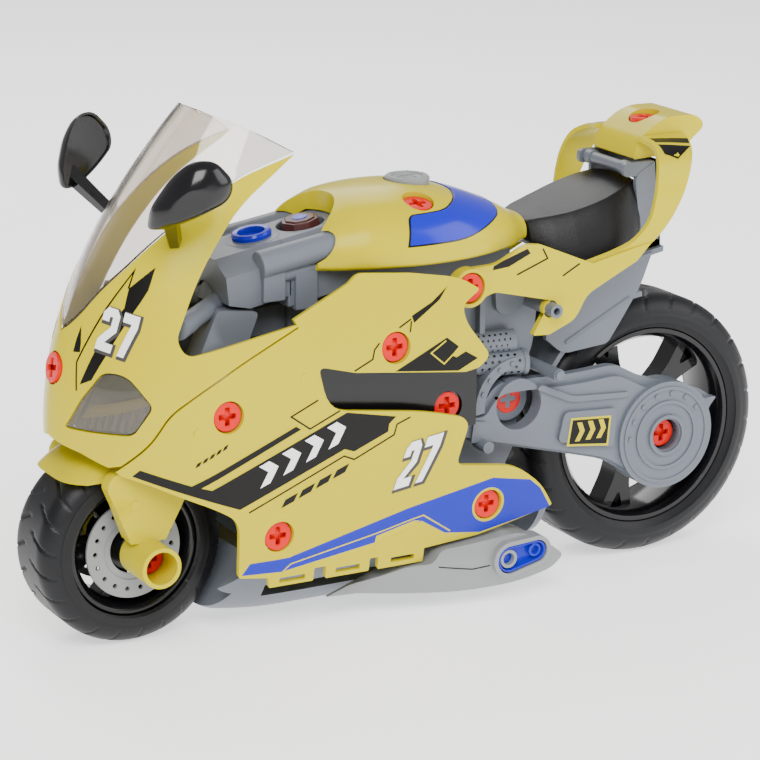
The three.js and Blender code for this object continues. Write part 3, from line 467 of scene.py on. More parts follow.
def printed(name, loops, surface, material, outward, step=3.0, lift=DECAL, sides="pair"):
    """A mark printed on a panel, standing just off its surface."""
    shapes = [sheet(loops, surface, step, -lift)]
    if sides == "pair":
        pair(name, shapes, material, "body", outward=outward)
    else:
        piece(name, shapes, material, "body", outward=outward)


def carve(obj, shapes):
    """Cuts the shapes out of a piece for good, before its own modifiers."""
    for points, faces in shapes:
        cutter = linked("cutter", built("cutter", points, faces))
        blank = linked("blank", obj.data)
        boolean = blank.modifiers.new("cut", "BOOLEAN")
        boolean.operation = "DIFFERENCE"
        boolean.solver = "EXACT"
        boolean.object = cutter
        view = bpy.context.evaluated_depsgraph_get()
        obj.data = bpy.data.meshes.new_from_object(blank.evaluated_get(view))
        bpy.data.objects.remove(blank)
        bpy.data.objects.remove(cutter)
    if not obj.modifiers:
        obj.data.set_sharp_from_angle(angle=SHARP)


# ---------------------------------------------------------------- digits for the race number
def digits(corner, along, up):
    """The race number 27 in angular strokes: its outlines in a sloping frame."""
    two = [(0.02, 0), (0.44, 0), (0.44, 0.2), (0.2, 0.2), (0.44, 0.5), (0.44, 0.86), (0.34, 1), (0.1, 1),
           (0.0, 0.86),
           (0.0, 0.68), (0.18, 0.68), (0.18, 0.8), (0.26, 0.8), (0.26, 0.58), (0.02, 0.24)]
    seven = [(0.62, 0), (0.82, 0), (1.0, 0.72), (1.0, 1), (0.54, 1), (0.54, 0.78), (0.8, 0.78)]
    corner, along, up = Vector(corner), Vector(along), Vector(up)
    return [[tuple(corner + along * u + up * v) for u, v in digit] for digit in (two, seven)]


def number(name, corner, along, up, surface, outward, laid, shadow):
    """The race number on both sides of the bike, each reading the right way round."""
    corner, along = Vector(corner), Vector(along)
    for side, start, way in (("left", corner, along), ("right", corner + along, -along)):
        facing = outward if side == "left" else (outward[0], -outward[1], outward[2])
        for k, digit in enumerate(digits(start, way, up)):
            flat = laid(digit)
            layers = (("edge", grown(flat, 0.7, shadow), INK_GREY, 1.6), ("face", flat, INK_WHITE, 2.6))
            for layer, loop, ink, lift in layers:
                shape = sheet([loop], surface, 2.0, -lift * DECAL)
                made = shape if side == "left" else mirrored(shape)
                piece(f"{name}_{layer}_{k}_{side}", [made], ink, "body", outward=facing)


# ---------------------------------------------------------------- screws
def screws():
    """Every red screw: a round head with a cross recess, and a shank."""
    arm, half = 3.0, 0.8
    cross = [(half, half), (arm, half), (arm, -half), (half, -half), (half, -arm), (-half, -arm),
             (-half, -half),
             (-arm, -half), (-arm, half), (-half, half), (-half, arm), (half, arm)]
    head = circle(0, 0, SCREW_HEAD, 40)
    shapes = [plate([head, cross], 0, 1.5, 1.5), plate([head], 1.5, 2.6, 4),
              rod((0, 2.6, 0), (0, 8.4, 0), 2.0)]
    places = {"nose_screw": ((-122.6, 0, 94.2), (1, 0, -0.2)), "hump_screw": ((103.5, 0, 157), (0, 0, -1)),
              "pivot_screw": ((39.4, -17.2, 66.4), (0, 1, 0)),
              "rear_hub_screw": ((100, -22.6, 47.5), (0, 1, 0))}
    paired = {"tank_screw": ((1.3, -19, 139.7), (0, 0.25, -1)), "tail_screw": ((14.4, -32.2, 112), (0, 1, 0)),
              "vent_screw": ((7, -30.6, 71.8), (0, 1, 0)),
              "front_axle_screw": ((-100, -23.7, 32.5), (0, 1, 0))}
    for k, (x, z) in enumerate(FAIRING_SCREWS):
        paired[f"fairing_screw_{k + 1}"] = ((x, SINK - half_width(x, z), z), (0, 1, 0))
    for name, ((x, y, z), (ax, ay, az)) in paired.items():
        places[f"{name}_left"] = ((x, y, z), (ax, ay, az))
        places[f"{name}_right"] = ((x, -y, z), (ax, -ay, az))
    for name, (at, axis) in places.items():
        turn = Vector((0, 1, 0)).rotation_difference(Vector(axis)).to_matrix().to_4x4()
        matrix = Matrix.Translation(at) @ turn
        body = "steering" if "axle" in name else "body"
        piece(f"{name}_look", [moved(shape, matrix) for shape in shapes], RED, body, [name], "screw_red",
              0.35)


# ---------------------------------------------------------------- nose and windshield
RIM_LINE = [(-119.6, 105.6), (-116.9, 110.2, 8), (-109.9, 121.2, 10), (-94.2, 137.6, 14), (-69, 155, 12),
            (-47, 161.4)]
SEAM = [(-52.2, 107.5), (-73.5, 97.8, 9), (-87.5, 90.3, 8), (-97, 83.8, 4), (-103, 74, 4), (-112, 64.6)]
HEADLIGHT = [(-122.4, 76.2, 1), (-119, 86.5, 3), (-113.5, 96.4, 3), (-108, 95.8, 3), (-101.6, 86, 2),
             (-107.4, 76.4, 2)]
WINDOW = [(-52.2, 108.2, 2), (-91, 101.6, 4), (-93.6, 107, 8), (-85, 126, 10), (-69.5, 146.4, 10),
          (-47, 161.4)]


def arc_of(points):
    """A side view outline as (turn, height) round the nose."""
    return [(nose_turn(x, z), z) for x, z in points]


def open_path(points):
    """Rounds a path's inner corners and leaves its ends alone."""
    return rounded([(*points[0][:2], 0), *points[1:-1], (*points[-1][:2], 0)])


def across_nose(half):
    """A closed outline from its left half, which starts and ends on the middle line."""
    return half + [(-turn, z) for turn, z in half[::-1] if turn > 0.01]


def fine(path):
    """A path with rounded corners and points every 3 mm, both ends kept."""
    bent = open_path(path)
    out = []
    for a, b in zip(bent, bent[1:]):
        count = max(1, math.ceil(math.dist(a, b) / 3))
        out += [(a[0] + (b[0] - a[0]) * k / count, a[1] + (b[1] - a[1]) * k / count) for k in range(count)]
    return out + [bent[-1]]


def front_circle(z, radius, sides=24):
    points = []
    for y, dz in circle(0, 0, radius, sides):
        turn = math.degrees(math.asin((abs(y) / side_half(z)) ** 0.8))
        points.append((math.copysign(turn, y), z + dz))
    return points


def nose():
    chin = [(-119.5, 68.9), (-113.5, 65.3)]
    outline = across_nose([(0, 72), *arc_of(chin), *arc_of(fine(SEAM[::-1])[1:]), *arc_of(fine(WINDOW)),
                           *arc_of(fine(RIM_LINE[::-1])[1:-1]), (0, 105.6)])
    lamp = arc_of(subdivided(rounded(HEADLIGHT), 2))
    other = [(-turn, z) for turn, z in lamp[::-1]]
    cowl = sheet([outline, lamp, other, front_circle(94, SCREW_HOLE)], on_nose, 3.2)
    piece("nose_cowl_look", [cowl], YELLOW, "body", ["nose_cowl"], "body_yellow", 0.4, WALL, (-1, 0, 0))
    backing = sheet([grown(lamp, 1.0)], on_nose, 3, 5.2)
    pair("headlight_reflector", [backing], BROWN, "body", wall=0.6, outward=(-1, -1, 0))
    lens = sheet([grown(lamp, -0.5)], on_nose, 2.5, 0.5)
    pair("headlight_look", [lens], LENS, "body", ["headlight"], (-1, -1, 0), slot="smoke_clear", wall=1.2,
         bevel=0.3)
    ribs = [rod(on_nose(turn, 76.6, 4.4), on_nose(turn + 3, 84.6, 4.4), 0.8, 0.8, 8) for turn in range(26,
                                                                                                       56, 4)]
    pair("headlight_ribs", ribs, SILVER, "body")
    bands = {"stripe": (INK_YELLOW, [(-120.4, 79.5), (-118.6, 84), (-104.6, 88.4), (-102.8, 85.8)]),
             "brow": (GREY, [(-118.6, 84.6), (-117, 90), (-112.4, 97), (-107.2, 96), (-103.8, 89.6)])}
    for name, (material, points) in bands.items():
        band = sheet([arc_of(fine([*points, points[0]])[:-1])], on_nose, 3, 3.6)
        pair(f"headlight_{name}", [band], material, "body", wall=0.5, outward=(-1, -1, 0))


def windshield():
    line = fine([(x - 0.1, z + 0.55, *more) for x, z, *more in RIM_LINE])
    top = fine([(-48.4, 162.6), (-60, 169.2, 4), (-76.4, 176.4)])
    half = [(0, 106.1), *arc_of(line[1:]), *arc_of(top[:-1]), (0, 176.4)]
    piece("windshield_look", [sheet([across_nose(half)], on_nose, 3.6, 0.2)], SMOKE, "body", ["windshield"],
          "smoke_clear", 0.3, 1.4, (-1, 0, 0))


MIRROR_RIM = [(-0.9, -0.9, 1.5), (0, 6, 5), (6.6, 16.8, 6), (13, 22.4, 5), (20, 22.4, 5), (25.8, 15.6, 5),
              (25.2, 9.6, 4),
              (15.5, 3.7, 6), (4.7, -0.8, 2)]


def mirrors():
    """Scooped heads: a flat face with a rim, and a front that swells and closes to a facet."""
    tip, front = Vector((-102.2, -32.2, 145.4)), Vector((-0.38, -0.88, -0.28)).normalized()
    along = Vector((0, 0, 1)).cross(front).normalized()
    up = front.cross(along)
    loop = subdivided(rounded(MIRROR_RIM), 1.6)

    def ring(shrink, depth):
        return [tuple(tip + along * (11 + (u - 11) * shrink) + up * (10 + (v - 10) * shrink) + front * depth)
                for u, v in loop]

    rows = [ring(0.9, 0.8), ring(0.93, 0), ring(1, 0), ring(1, 0.8)]
    depth, steps = 7.4, 12
    for k in range(1, steps + 1):
        at = depth * k / steps
        rows.append(ring(1 - 0.5 * (at / depth) ** 2.2, at))
    rows.append(ring(0.4, depth + 0.3))
    knee = tip + along * 6 + up * 4 + front * 3
    foot = Vector((-89.8, -23.6, 136.6))
    side_step = Vector((0.6, -0.3, 0.7)).normalized()
    stalk = rod(foot, knee, 2.4, 3.4, 5)
    brow = lofted([[tuple(tip + along * u * s + up * v * s + front * (6.9 + 0.35 * s)) for u, v in
                    ((6, 7), (10, 5.4), (16, 8), (18, 12), (13, 13), (8, 10.5))] for s in (1.0, 0.92)])
    shapes = [lofted(rows), stalk, brow, rod(foot + side_step * 0.4, foot + (knee - foot) * 0.5, 2.3, 2.9, 5)]
    for side in ("left", "right"):
        made = shapes if side == "left" else [mirrored(shape) for shape in shapes]
        piece(f"mirror_{side}_look", made, BLACK, f"mirror_{side}", [f"mirror_{side}"], "gloss_black", 0.35)


# ---------------------------------------------------------------- side fairing and its prints
VENT = [(9.8, 85.1), (-31.8, 90), (-45.4, 93.6, 3), (-41.8, 78.6, 7), (-5, 73.4, 14), (9.2, 69.6, 6)]
FAIRING_SCREWS = [(-77.9, 81.1), (-16.4, 96.4), (-58.4, 37.2), (21.2, 36.3)]


def fairing_outline():
    seam = [(x + 0.35, z - 0.5, *more) for x, z, *more in SEAM][::-1]
    top = [(-53.4, 110), (-32.7, 119.4), (-29, 122.3, 2), (-9.6, 120.3), (8.5, 117, 5), (16.4, 112.2, 1.5),
           (9.2, 107.6, 5), (10.6, 101.6, 4), (19.6, 89.6, 4), (15.2, 86, 1.5)]
    rear = [(11.4, 66.6, 6), (7.2, 52.8, 3), (31.1, 49.2, 6), (42.4, 40.6, 6), (48, 31.8, 1)]
    bottom = [(18.1, 25.4), (-2.4, 23.8), (-2.4, 18.8, 0.5), (-19.8, 18.8, 0.5), (-20, 23.4, 0.5),
              (-23.2, 23.4, 0.5),
              (-23.2, 18.8, 0.5), (-39.6, 18.8, 0.5), (-39.8, 23.4, 0.5), (-44.2, 23.4, 0.5),
              (-44.2, 18.8, 0.5),
              (-60.4, 18.8), (-61.3, 22.6), (-72.2, 24.3, 1)]
    chin = [(-73.4, 45, 7), (-82, 50.4, 8), (-103, 60.2), (-110.4, 62.9)]
    return rounded(seam + top + VENT + rear + bottom + chin)


def side_fairing():
    holes = [circle(x, z, SCREW_HOLE, 40) for x, z in FAIRING_SCREWS]
    slots = [rectangle(x0, x1, z0, z0 + 1.9, 0.4) for x0, x1,
             z0 in ((-57, -47.4, 20), (-36, -26.8, 20.2), (-15, -6, 20.4))]
    pair("side_fairing_look", [sheet([fairing_outline(), *holes, *slots], on_side)], YELLOW, "body",
         ["side_fairing"],
         (0, -1, 0), slot="body_yellow", wall=WALL, bevel=0.4)
    tubes = []
    for x, z in FAIRING_SCREWS:
        y = -half_width(x, z)
        tubes.append(plate([circle(x, z, 6.6, 40), circle(x, z, SCREW_HOLE - 0.05, 40)], y + 1.2, y + 5.2, 2))
    pair("fairing_screw_seats", tubes, YELLOW, "body", slot="body_yellow")
    dimples = [pin(x, z, 1.5, -half_width(x, z) - 0.15, -half_width(x, z) + 0.5)
               for x, z in ((-88.5, 77), (-50.4, 90.7))]
    pair("gate_marks", dimples, YELLOW, "body", bevel=0.1)
    vent = [(-50, 96, 4), (18, 88), (18, 64), (0, 64), (-46, 72, 6)]
    pair("vent_panel_look", [plate([rounded(vent), circle(7, 71.8, SCREW_HOLE)], lambda x,
                                   z: 6.5 - half_width(x, z),
                                   lambda x, z: 8.3 - half_width(x, z), 4)],
         BLACK, "body", ["vent_panel"], slot="gloss_black", bevel=0.3)


def fairing_prints():
    out = (0, -1, 0)
    black = {
        "band": [(-105.6, 65.3), (-90.5, 59.5), (-53.8, 74.9), (-52, 73.7), (-87.4, 58.5), (-83.7, 57.3),
                 (-35.1, 77.1),
                 (-16.7, 73.3), (-19.3, 71.1), (-19.6, 68.5), (-32.2, 63.4), (-35.8, 64.7), (-73.5, 49.2),
                 (-87.6, 55),
                 (-107.6, 63.1)],
        "leaf": [(3.9, 114.6), (0.5, 110.4), (-9.4, 103.9), (-10.2, 106.3), (-2.3, 110)],
        "rear_band": [(-16.9, 88.6), (2.8, 97.6), (7.3, 94.1), (4.4, 91.4), (6.3, 90.5), (9.9, 92.1),
                      (14.5, 89.3),
                      (7, 85.9)],
    }
    for name, loop in black.items():
        printed(f"print_{name}", [loop], on_side, INK_BLACK, out)
    lines = {
        "box": [(-45.7, 82.7), (-55.6, 78.4), (-48.7, 73.4), (-37.7, 78.1)],
        "under": [(-70.2, 47.6), (-35.9, 62.3), (-32.1, 60.6), (-17.3, 67.1), (-16.3, 70.6), (-11.2, 72.4)],
        "upper": [(-22.6, 98.8), (-24.6, 96.7), (-25.3, 93.7), (-32.2, 90.6)],
        "twig_a": [(-10.5, 105.3), (-15.1, 102.9)],
        "twig_b": [(-10.4, 104.6), (-11, 101)],
    }
    for name, path in lines.items():
        printed(f"line_{name}", stroke(path, 0.55), on_side, INK_BLACK, out, 2.0)
    printed("line_rear_box", stroke([(2.4, 96.6), (-3.4, 93.1), (1.5, 88.9), (5.2, 91.9)], 0.5), on_side,
            INK_YELLOW,
            out, 2.0, 2 * DECAL)
    for k in range(4):
        x, z = -66.5 + 8.2 * k, 55.6 + 3.3 * k
        chevron = [(x, z), (x + 3.6, z + 1.4), (x + 6.4, z + 6.8), (x + 3, z + 9), (x - 0.6, z + 7.5),
                   (x + 2.8, z + 5.3)]
        printed(f"chevron_{k}", [chevron], on_side, INK_WHITE, out, 2.0, 2 * DECAL)
    for k in range(4):
        x, z = -58.5 + 6.2 * k, 47.4 + 2.5 * k
        printed(f"dash_{k}", [[(x, z), (x + 4.6, z + 1.8), (x + 6, z + 4.6), (x + 1.4, z + 2.8)]], on_side,
                INK_BLACK,
                out, 2.0)
    for k in range(5):
        x, z = -89.5 + 2.3 * k, 65.6 + 1.15 * k
        printed(f"small_dash_{k}", [[(x, z), (x + 1.5, z + 0.7), (x + 2.2, z + 2.2), (x + 0.7, z + 1.5)]],
                on_side,
                INK_BLACK, out, 2.0)
    number("side_number", (-17, 47.4), (13.6, 2), (5.2, 16), on_side, out, list, (0.5, -0.4))
    lower = [(-71.2, 25.2), (-68.5, 29), (-58.6, 28.9), (-54.2, 29), (-10.4, 39.8), (22.3, 46), (37.4, 43),
             (42, 39.2),
             (47, 31.4), (19, 26.4), (5, 28.4), (-4.6, 34.4), (-8.4, 33.6), (-22.2, 29.2), (-56.6, 24.2)]
    printed("lower_blue", [lower, circle(21.2, 36.3, 6.3, 36)], on_side, INK_BLUE, out)
    trim = [(-56.2, 24.2), (-53.4, 26.6), (-21.6, 32.6), (-8.4, 35.6), (-4.2, 36.4), (7, 28.8)]
    printed("lower_line", stroke(trim, 0.5), on_side, INK_YELLOW, out, 2.0, 2 * DECAL)
    printed("lower_gap", [[(-22.2, 29), (-8.2, 33.2), (-5.4, 34.6), (-7.6, 35), (-21.8, 31.6)]], on_side,
            INK_YELLOW,
            out, 2.0, 2 * DECAL)


def nose_prints():
    out = (-1, -1, 0)

    def lay(name, points, material, lift=DECAL):
        printed(f"nose_{name}", [arc_of(points)], on_nose, material, out, 2.5, lift)

    lay("slash", [(-95.9, 129.1), (-103.7, 122.3), (-105.8, 116.4), (-107.6, 113.9), (-114.4, 102.2),
                  (-118.6, 91.2),
                  (-116.1, 93.2), (-111.7, 102.1), (-103.4, 115.9), (-101.6, 118.4), (-99, 122.2)], INK_BLACK)
    lay("patch", [(-118.6, 100.9), (-117.4, 105), (-115.8, 109.4), (-116.8, 104), (-117.4, 101.2)], INK_BLACK)
    path = arc_of([(-103.8, 122.3), (-101.4, 127.6), (-110, 115.5), (-118.4, 98), (-119.4, 89)])
    printed("nose_line", stroke(path, 0.9), on_nose, INK_BLACK, out, 2.0)
    number("nose_number", (-114.4, 103.4), (7.6, -2.6), (4.6, 13.2), on_nose, out, arc_of, (0.7, -0.5))


# ---------------------------------------------------------------- tank
TANK = [(-37, 21, 134.5), (-30, 25, 139), (-20, 29, 142.5), (-5, 31.5, 143.8), (10, 31, 143), (25, 27, 139.2),
        (38, 20.5, 134.2), (50, 10, 128.5)]
TANK_FLOOR, TANK_WAIST = 119, 122.5
TANK_ARC = 25  # millimetres of tank surface for one radian round it
TANK_POWER = 0.83  # how square its cross section is
TANK_ROWS = [tuple(row) for row in smooth_rows(TANK, 60)]


def tank_size(x):
    xs, halves, tops = zip(*TANK_ROWS)
    return np.interp(x, xs, halves), np.interp(x, xs, tops)


def on_tank(x, arc, depth=0.0):
    """A point on the tank: arc is 0 along the top, positive down its left side."""
    half, top = tank_size(x)
    across, up = math.sin(arc / TANK_ARC), math.cos(arc / TANK_ARC)
    y = -math.copysign(abs(across) ** TANK_POWER, across) * (half - depth)
    reach = top - TANK_WAIST - depth if up > 0 else TANK_WAIST - TANK_FLOOR - depth
    return (x, y, TANK_WAIST + math.copysign(abs(up) ** TANK_POWER, up) * reach)


def tank_arc(x, z):
    top = tank_size(x)[1]
    if z >= TANK_WAIST:
        return TANK_ARC * math.acos(min(((z - TANK_WAIST) / (top - TANK_WAIST)) ** (1 / TANK_POWER), 1))
    down = (TANK_WAIST - z) / (TANK_WAIST - TANK_FLOOR)
    return TANK_ARC * (math.pi / 2 + math.asin(down ** (1 / TANK_POWER)))


def tank():
    rows = []
    start, end, count = -36.9, 49.8, 64
    for k in range(count):
        x = start + k * (end - start) / (count - 1)
        rows.append([on_tank(x, TANK_ARC * math.tau * i / 72) for i in range(72)])
    shell = piece("tank_look", [lofted(rows)], YELLOW, "body", ["tank_shell"], "body_yellow")
    room = [(-18, 100), (-18, 125), (-10.2, 129.9), (10.2, 129.9), (18, 125), (18, 100)]
    rails = [rod(slope_at(-60, side * 17.4, 125.6), slope_at(-17, side * 17.4, 124.6), 5.2) for side in (1,
                                                                                                         -1)]
    holes = [rod((1.3, side * 21, 148), (1.3, side * 18.4, 136.6), SCREW_HOLE, sides=40) for side in (1, -1)]
    carve(shell, [rod((-40.03, 0.01, 100), (-40.03, 0.01, 160), 17.83, sides=64),
                  beam(room, -60, -17.4, TOP_SLOPE), *rails,
                  rod((8, 0, 142), (8, 0, 150), 8.2, sides=48), *holes])
    left = [(-8, 128.4, 1.5), (15, 128.6, 6), (34, 133, 6), (38.4, 137)]
    rear = [(x, tank_arc(x, z)) for x, z in fine(left)[:-1]]
    front = [(x, tank_arc(x, z)) for x, z in fine([(-8, 128.4), (-5.6, 137, 2), (8.6, 137.4, 3),
                                                   (20, 140.2)])[1:]]
    half = [(21.4, 0), *front[::-1], *rear, (38, 0)]
    outline = half + [(x, -arc) for x, arc in half[::-1] if arc > 0.01]
    piece("tank_panel_edge", [sheet([grown(outline, 0.6)], on_tank, 3, -0.05)], BLACK, "body",
          outward=(0, 0, 1))
    piece("tank_panel_look", [sheet([outline], on_tank, 3, -0.35)], BLUE, "body", ["tank_panel"],
          "accent_blue", 0.3, 0.9,
          (0, 0, 1))
    cap()


def upright(shape, x, y):
    """Turns a shape made round the Y axis at the origin so that its Y points up, at (x, y)."""
    return moved(shape, Matrix.Translation((x, y, 0)) @ Matrix.Rotation(math.pi / 2, 4, "X"))


def cap():
    ring = [(141.9, 0.01), (141.9, 7.7), (144.3, 7.7), (145, 7), (145, 5.4), (144.4, 5), (144.2, 3.4),
            (144.8, 3),
            (144.8, 0.01)]
    shapes = [upright(turned(ring, 0, 0, 64), 8, 0)]
    for k in range(6):
        angle = k * math.tau / 6
        x, y = 8 + 6.2 * math.cos(angle), 6.2 * math.sin(angle)
        shapes.append(rod((x, y, 144.6), (x, y, 145.2), 0.55, 0.45, 12))
    shapes.append(box(5.6, 10.4, -0.6, 0.6, 144.4, 145.2))
    piece("filler_cap_look", shapes, SILVER, "body", ["filler_cap"], "silver_grey", 0.15)


# ---------------------------------------------------------------- seat and tail
SEAT = [(50.6, 13, 119.4, 127.2), (57, 18, 115.6, 128.6), (65, 22, 112.4, 130.4), (76, 24, 112.6, 133.6),
        (87, 21, 115.4, 137), (94.6, 15.5, 120, 138.6)]


def seat():
    rows = []
    for x, half, low, top in smooth_rows(SEAT, 48):
        end = min((x - SEAT[0][0]) / 3, (SEAT[-1][0] - x) / 3, 1)
        soft = 0.9 + 0.1 * math.sqrt(max(end, 0))
        tall = top - low
        section = []
        for k in range(13):
            across = -1 + k / 6
            section.append((across * half * 0.68 * soft,
                            low + tall * (0.955 + 0.045 * (1 - across ** 2)) * soft))
        side = [(half * 0.75, 0.87), (half * 0.85, 0.62), (half * 0.95, 0.3), (half * 0.98, 0.1),
                (half * 0.9, 0.0)]
        section += [(y * soft, low + tall * up * soft) for y, up in side]
        section += [(-y * soft, low + tall * up * soft) for y, up in side[::-1]]
        rows.append([(x, y, z) for y, z in section])
    piece("seat_look", [lofted(rows)], SADDLE, "body", ["seat"], "seat_black", 0.35)


TAIL = [(0, -13.2, 153, 92, 111), (1, -21, 151.6, 93, 108.6), (2, -28, 147.8, 91, 105.2),
        (3, -31.4, 141, 89, 101.6),
        (4, -32.2, 134, 87.6, 98.4), (5, -31.4, 126, 85.4, 94), (6, -30, 119, 78, 88),
        (7, -28.6, 114.5, 63, 80)]

TAIL_LENGTH = 60  # millimetres of panel from its top to its lower end
TAIL_SPAN = 30
TAIL_ROWS = smooth_rows(TAIL, 61)


def on_tail(station, span, depth=0.0):
    """The tail panel's outer face: station runs down it, span from its front edge to its rear."""
    k = min(max(station / TAIL_LENGTH, 0), 1) * (len(TAIL_ROWS) - 1)
    i = min(int(k), len(TAIL_ROWS) - 2)
    row = TAIL_ROWS[i] + (TAIL_ROWS[i + 1] - TAIL_ROWS[i]) * (k - i)
    along = Vector((TAIL_ROWS[i + 1] - TAIL_ROWS[i])[1:3]).normalized()
    return (row[3] + (row[4] - row[3]) * span / TAIL_SPAN, row[1] - along.y * depth, row[2] + along.x * depth)


RAIL = [(8.6, 112, 5), (12, 118, 3), (26, 118.4, 3), (37, 124, 2), (43, 123.4), (64, 114.6), (80, 118),
        (88, 119.6),
        (82, 113.6), (62, 104, 3), (57.4, 95.8, 3), (47, 91.6, 1), (40.4, 92, 1), (47.4, 103.6, 1),
        (25, 109, 2),
        (18, 106.4, 5)]


def tail():
    wing = sheet([rectangle(0, TAIL_LENGTH, 0, TAIL_SPAN)], on_tail, 2.5)
    pair("tail_wing_look", [wing], YELLOW, "body", ["tail_panel"], (0, -1, 0), slot="body_yellow",
         wall=WALL, bevel=0.4)
    rail = plate([rounded(RAIL), circle(47.3, 100.6, 3)], -30.4, -28.2, 5)
    ring = plate([circle(14.4, 112, 6.6, 40), circle(14.4, 112, SCREW_HOLE, 40)], -32.8, -28.2, 3)
    pair("tail_rail_look", [rail, ring], YELLOW, "body", slot="body_yellow", bevel=0.4)
    out = (0, -1, 0)

    def flat(x, z, depth=0.0):
        return (x, -30.4 + depth, z)

    printed("rail_mark", [[(24.4, 118), (28.4, 119.6), (37.6, 122.6), (38.8, 120.8), (30.4, 117.2),
                           (24, 116.6)]], flat,
            INK_BLACK, out)
    printed("rail_line", stroke([(43.6, 122), (45.6, 118.4), (33.6, 114)], 0.6), flat, INK_BLACK, out)
    printed("rail_line_b", stroke([(58.6, 115.2), (51.8, 111.6)], 0.6), flat, INK_BLACK, out)
    printed("tail_stripe", [[(4, 4), (7.5, 4), (10.5, 29), (7, 29)]], on_tail, INK_BLACK, out)
    printed("tail_block", [[(9.2, 4), (12.2, 29), (18, 17), (15, 6)]], on_tail, INK_BLACK, out)
    block = [(91, 144.8, 1), (93, 151.6, 3), (103, 158.8, 7), (117, 158.6, 4), (121, 154.6, 3),
             (110, 145.6, 2)]
    hump = piece("tail_hump_look", [plate([rounded(block)], -12.6, 12.6, 40)], YELLOW, "body",
                 ["tail_hump"], "body_yellow",
                 0.9)
    carve(hump, [rod((103.5, 0, 150), (103.5, 0, 162), SCREW_HOLE, sides=40),
                 plate([rounded([(93.4, 140), (95.4, 149), (104, 153.4), (114, 153.2), (116, 152),
                                 (107, 140)])], -10.8, 10.8)])
    ends = [pin(89.2, 141.8, 2.6, y, y + 3.8) for y in (-12.8, 9)]
    piece("tail_rod_look", [pin(89.2, 141.8, 2.1, -12, 12), *ends], GREY, "body", ["tail_rod"],
          "frame_grey", 0.3)


# ---------------------------------------------------------------- frame, engine and button
def slope_at(x, y, z):
    return (x, y, z + TOP_SLOPE * (x - STEM[0]))


def top_of_frame(x):
    return 129.3 + TOP_SLOPE * (x - STEM[0])


def sloped(x, z):
    """Tips a shape made level at (x, z) to lie along the sloping top of the frame."""
    turn = Matrix.Rotation(-math.atan(TOP_SLOPE), 4, "Y")
    return Matrix.Translation((x, 0, z)) @ turn @ Matrix.Translation((-x, 0, -z))


def on_steering_axis(down):
    return (STEM[0] - math.sin(RAKE) * down, 0, STEM[1] - math.cos(RAKE) * down)


def airbox():
    roof = [(-17.5, 124.3), (-10, 129.3), (10, 129.3), (17.5, 124.3)]
    front = beam([(-17.5, 112), *roof, (17.5, 112)], -71, -45, TOP_SLOPE)
    rear = beam([(-17.5, 108), *roof, (17.5, 108)], -46, -18, TOP_SLOPE)
    block = piece("airbox_look", [front], GREY, "body", ["airbox_frame"], "frame_grey", 0.7)
    carve(block, [plate([[(-90, 90), (-90, 150), (-71.8, 150), (-67.6, 112), (-50, 108), (-44, 90)]], -30,
                        30, 60),
                  rod(on_steering_axis(11), on_steering_axis(60), 10.4)])
    ribs = [rod(slope_at(-57, -17.4, 125.6), slope_at(-19, -17.4, 124.6), 4.6),
            rod(slope_at(-54, -16.6, 120), slope_at(-19, -16.6, 118), 2.6),
            box(-56, -48, -19.6, -16, 112, 122), box(-44, -36, -19.2, -16, 108, 121)]
    base = piece("airbox_rear", [rear], GREY, "body", slot="frame_grey", bevel=0.6)
    carve(base, [rod((BUTTON_X, 0, 127.4), (BUTTON_X, 0, 150), 7.9, sides=40),
                 rod((BUTTON_X, 0, 110), (BUTTON_X, 0, 140), 2.6)])
    spine = [box(-40, 50, -6, 6, 97, 107), box(-22, 46, -6, 6, 106, 118),
             plate([[(-40, 97), (-40, 107), (-62, 105), (-66, 96)]], -4, 4)]
    piece("frame_spine", [*both(ribs), *spine], GREY, "body", slot="frame_grey", bevel=0.5)
    z = top_of_frame(STEM[0])
    ring = [(z + 0.2, 4.3), (z + 0.2, 6.6), (z + 1.6, 6.8), (z + 2.6, 6.2), (z + 2.4, 4.6), (z + 1, 4.2)]
    tilt = sloped(STEM[0], z)
    bolt = moved(upright(turned(ring, 0, 0, 64), STEM[0], 0), tilt)
    well = moved(rod((STEM[0], 0, z - 0.6), (STEM[0], 0, z + 0.7), 4.4, sides=40), tilt)
    foot = [(z - 0.5, 4), (z - 0.5, 9.4), (z + 0.1, 9), (z + 0.5, 7.4), (z + 0.4, 4)]
    seat_ring = moved(upright(turned(foot, 0, 0, 64), STEM[0], 0), tilt)
    piece("stem_bolt_look", [bolt, well], BLUE, "body", ["stem_bolt"], "accent_blue", 0.15)
    piece("stem_ring_seat", [seat_ring], GREY, "body", slot="frame_grey")


def button():
    x = BUTTON_X
    z = top_of_frame(x) + 0.1
    tilt = sloped(x, z)
    cap_shape = moved(rod((x, 0, z - 1.4), (x, 0, z + 1.4), 7.1, 6.5, 8), tilt)
    rim = moved(rod((x, 0, z + 1.3), (x, 0, z + 1.9), 5.4, 5.2, 8), tilt)
    piece("horn_button_look", [cap_shape, rim], BROWN, "horn_button", ["horn_button"], "button_brown", 0.25)
    piece("horn_button_mark", [moved(rod((x, 0, z + 1.85), (x, 0, z + 2.1), 2.6, 2.5, 20), tilt)], BLUE,
          "horn_button")


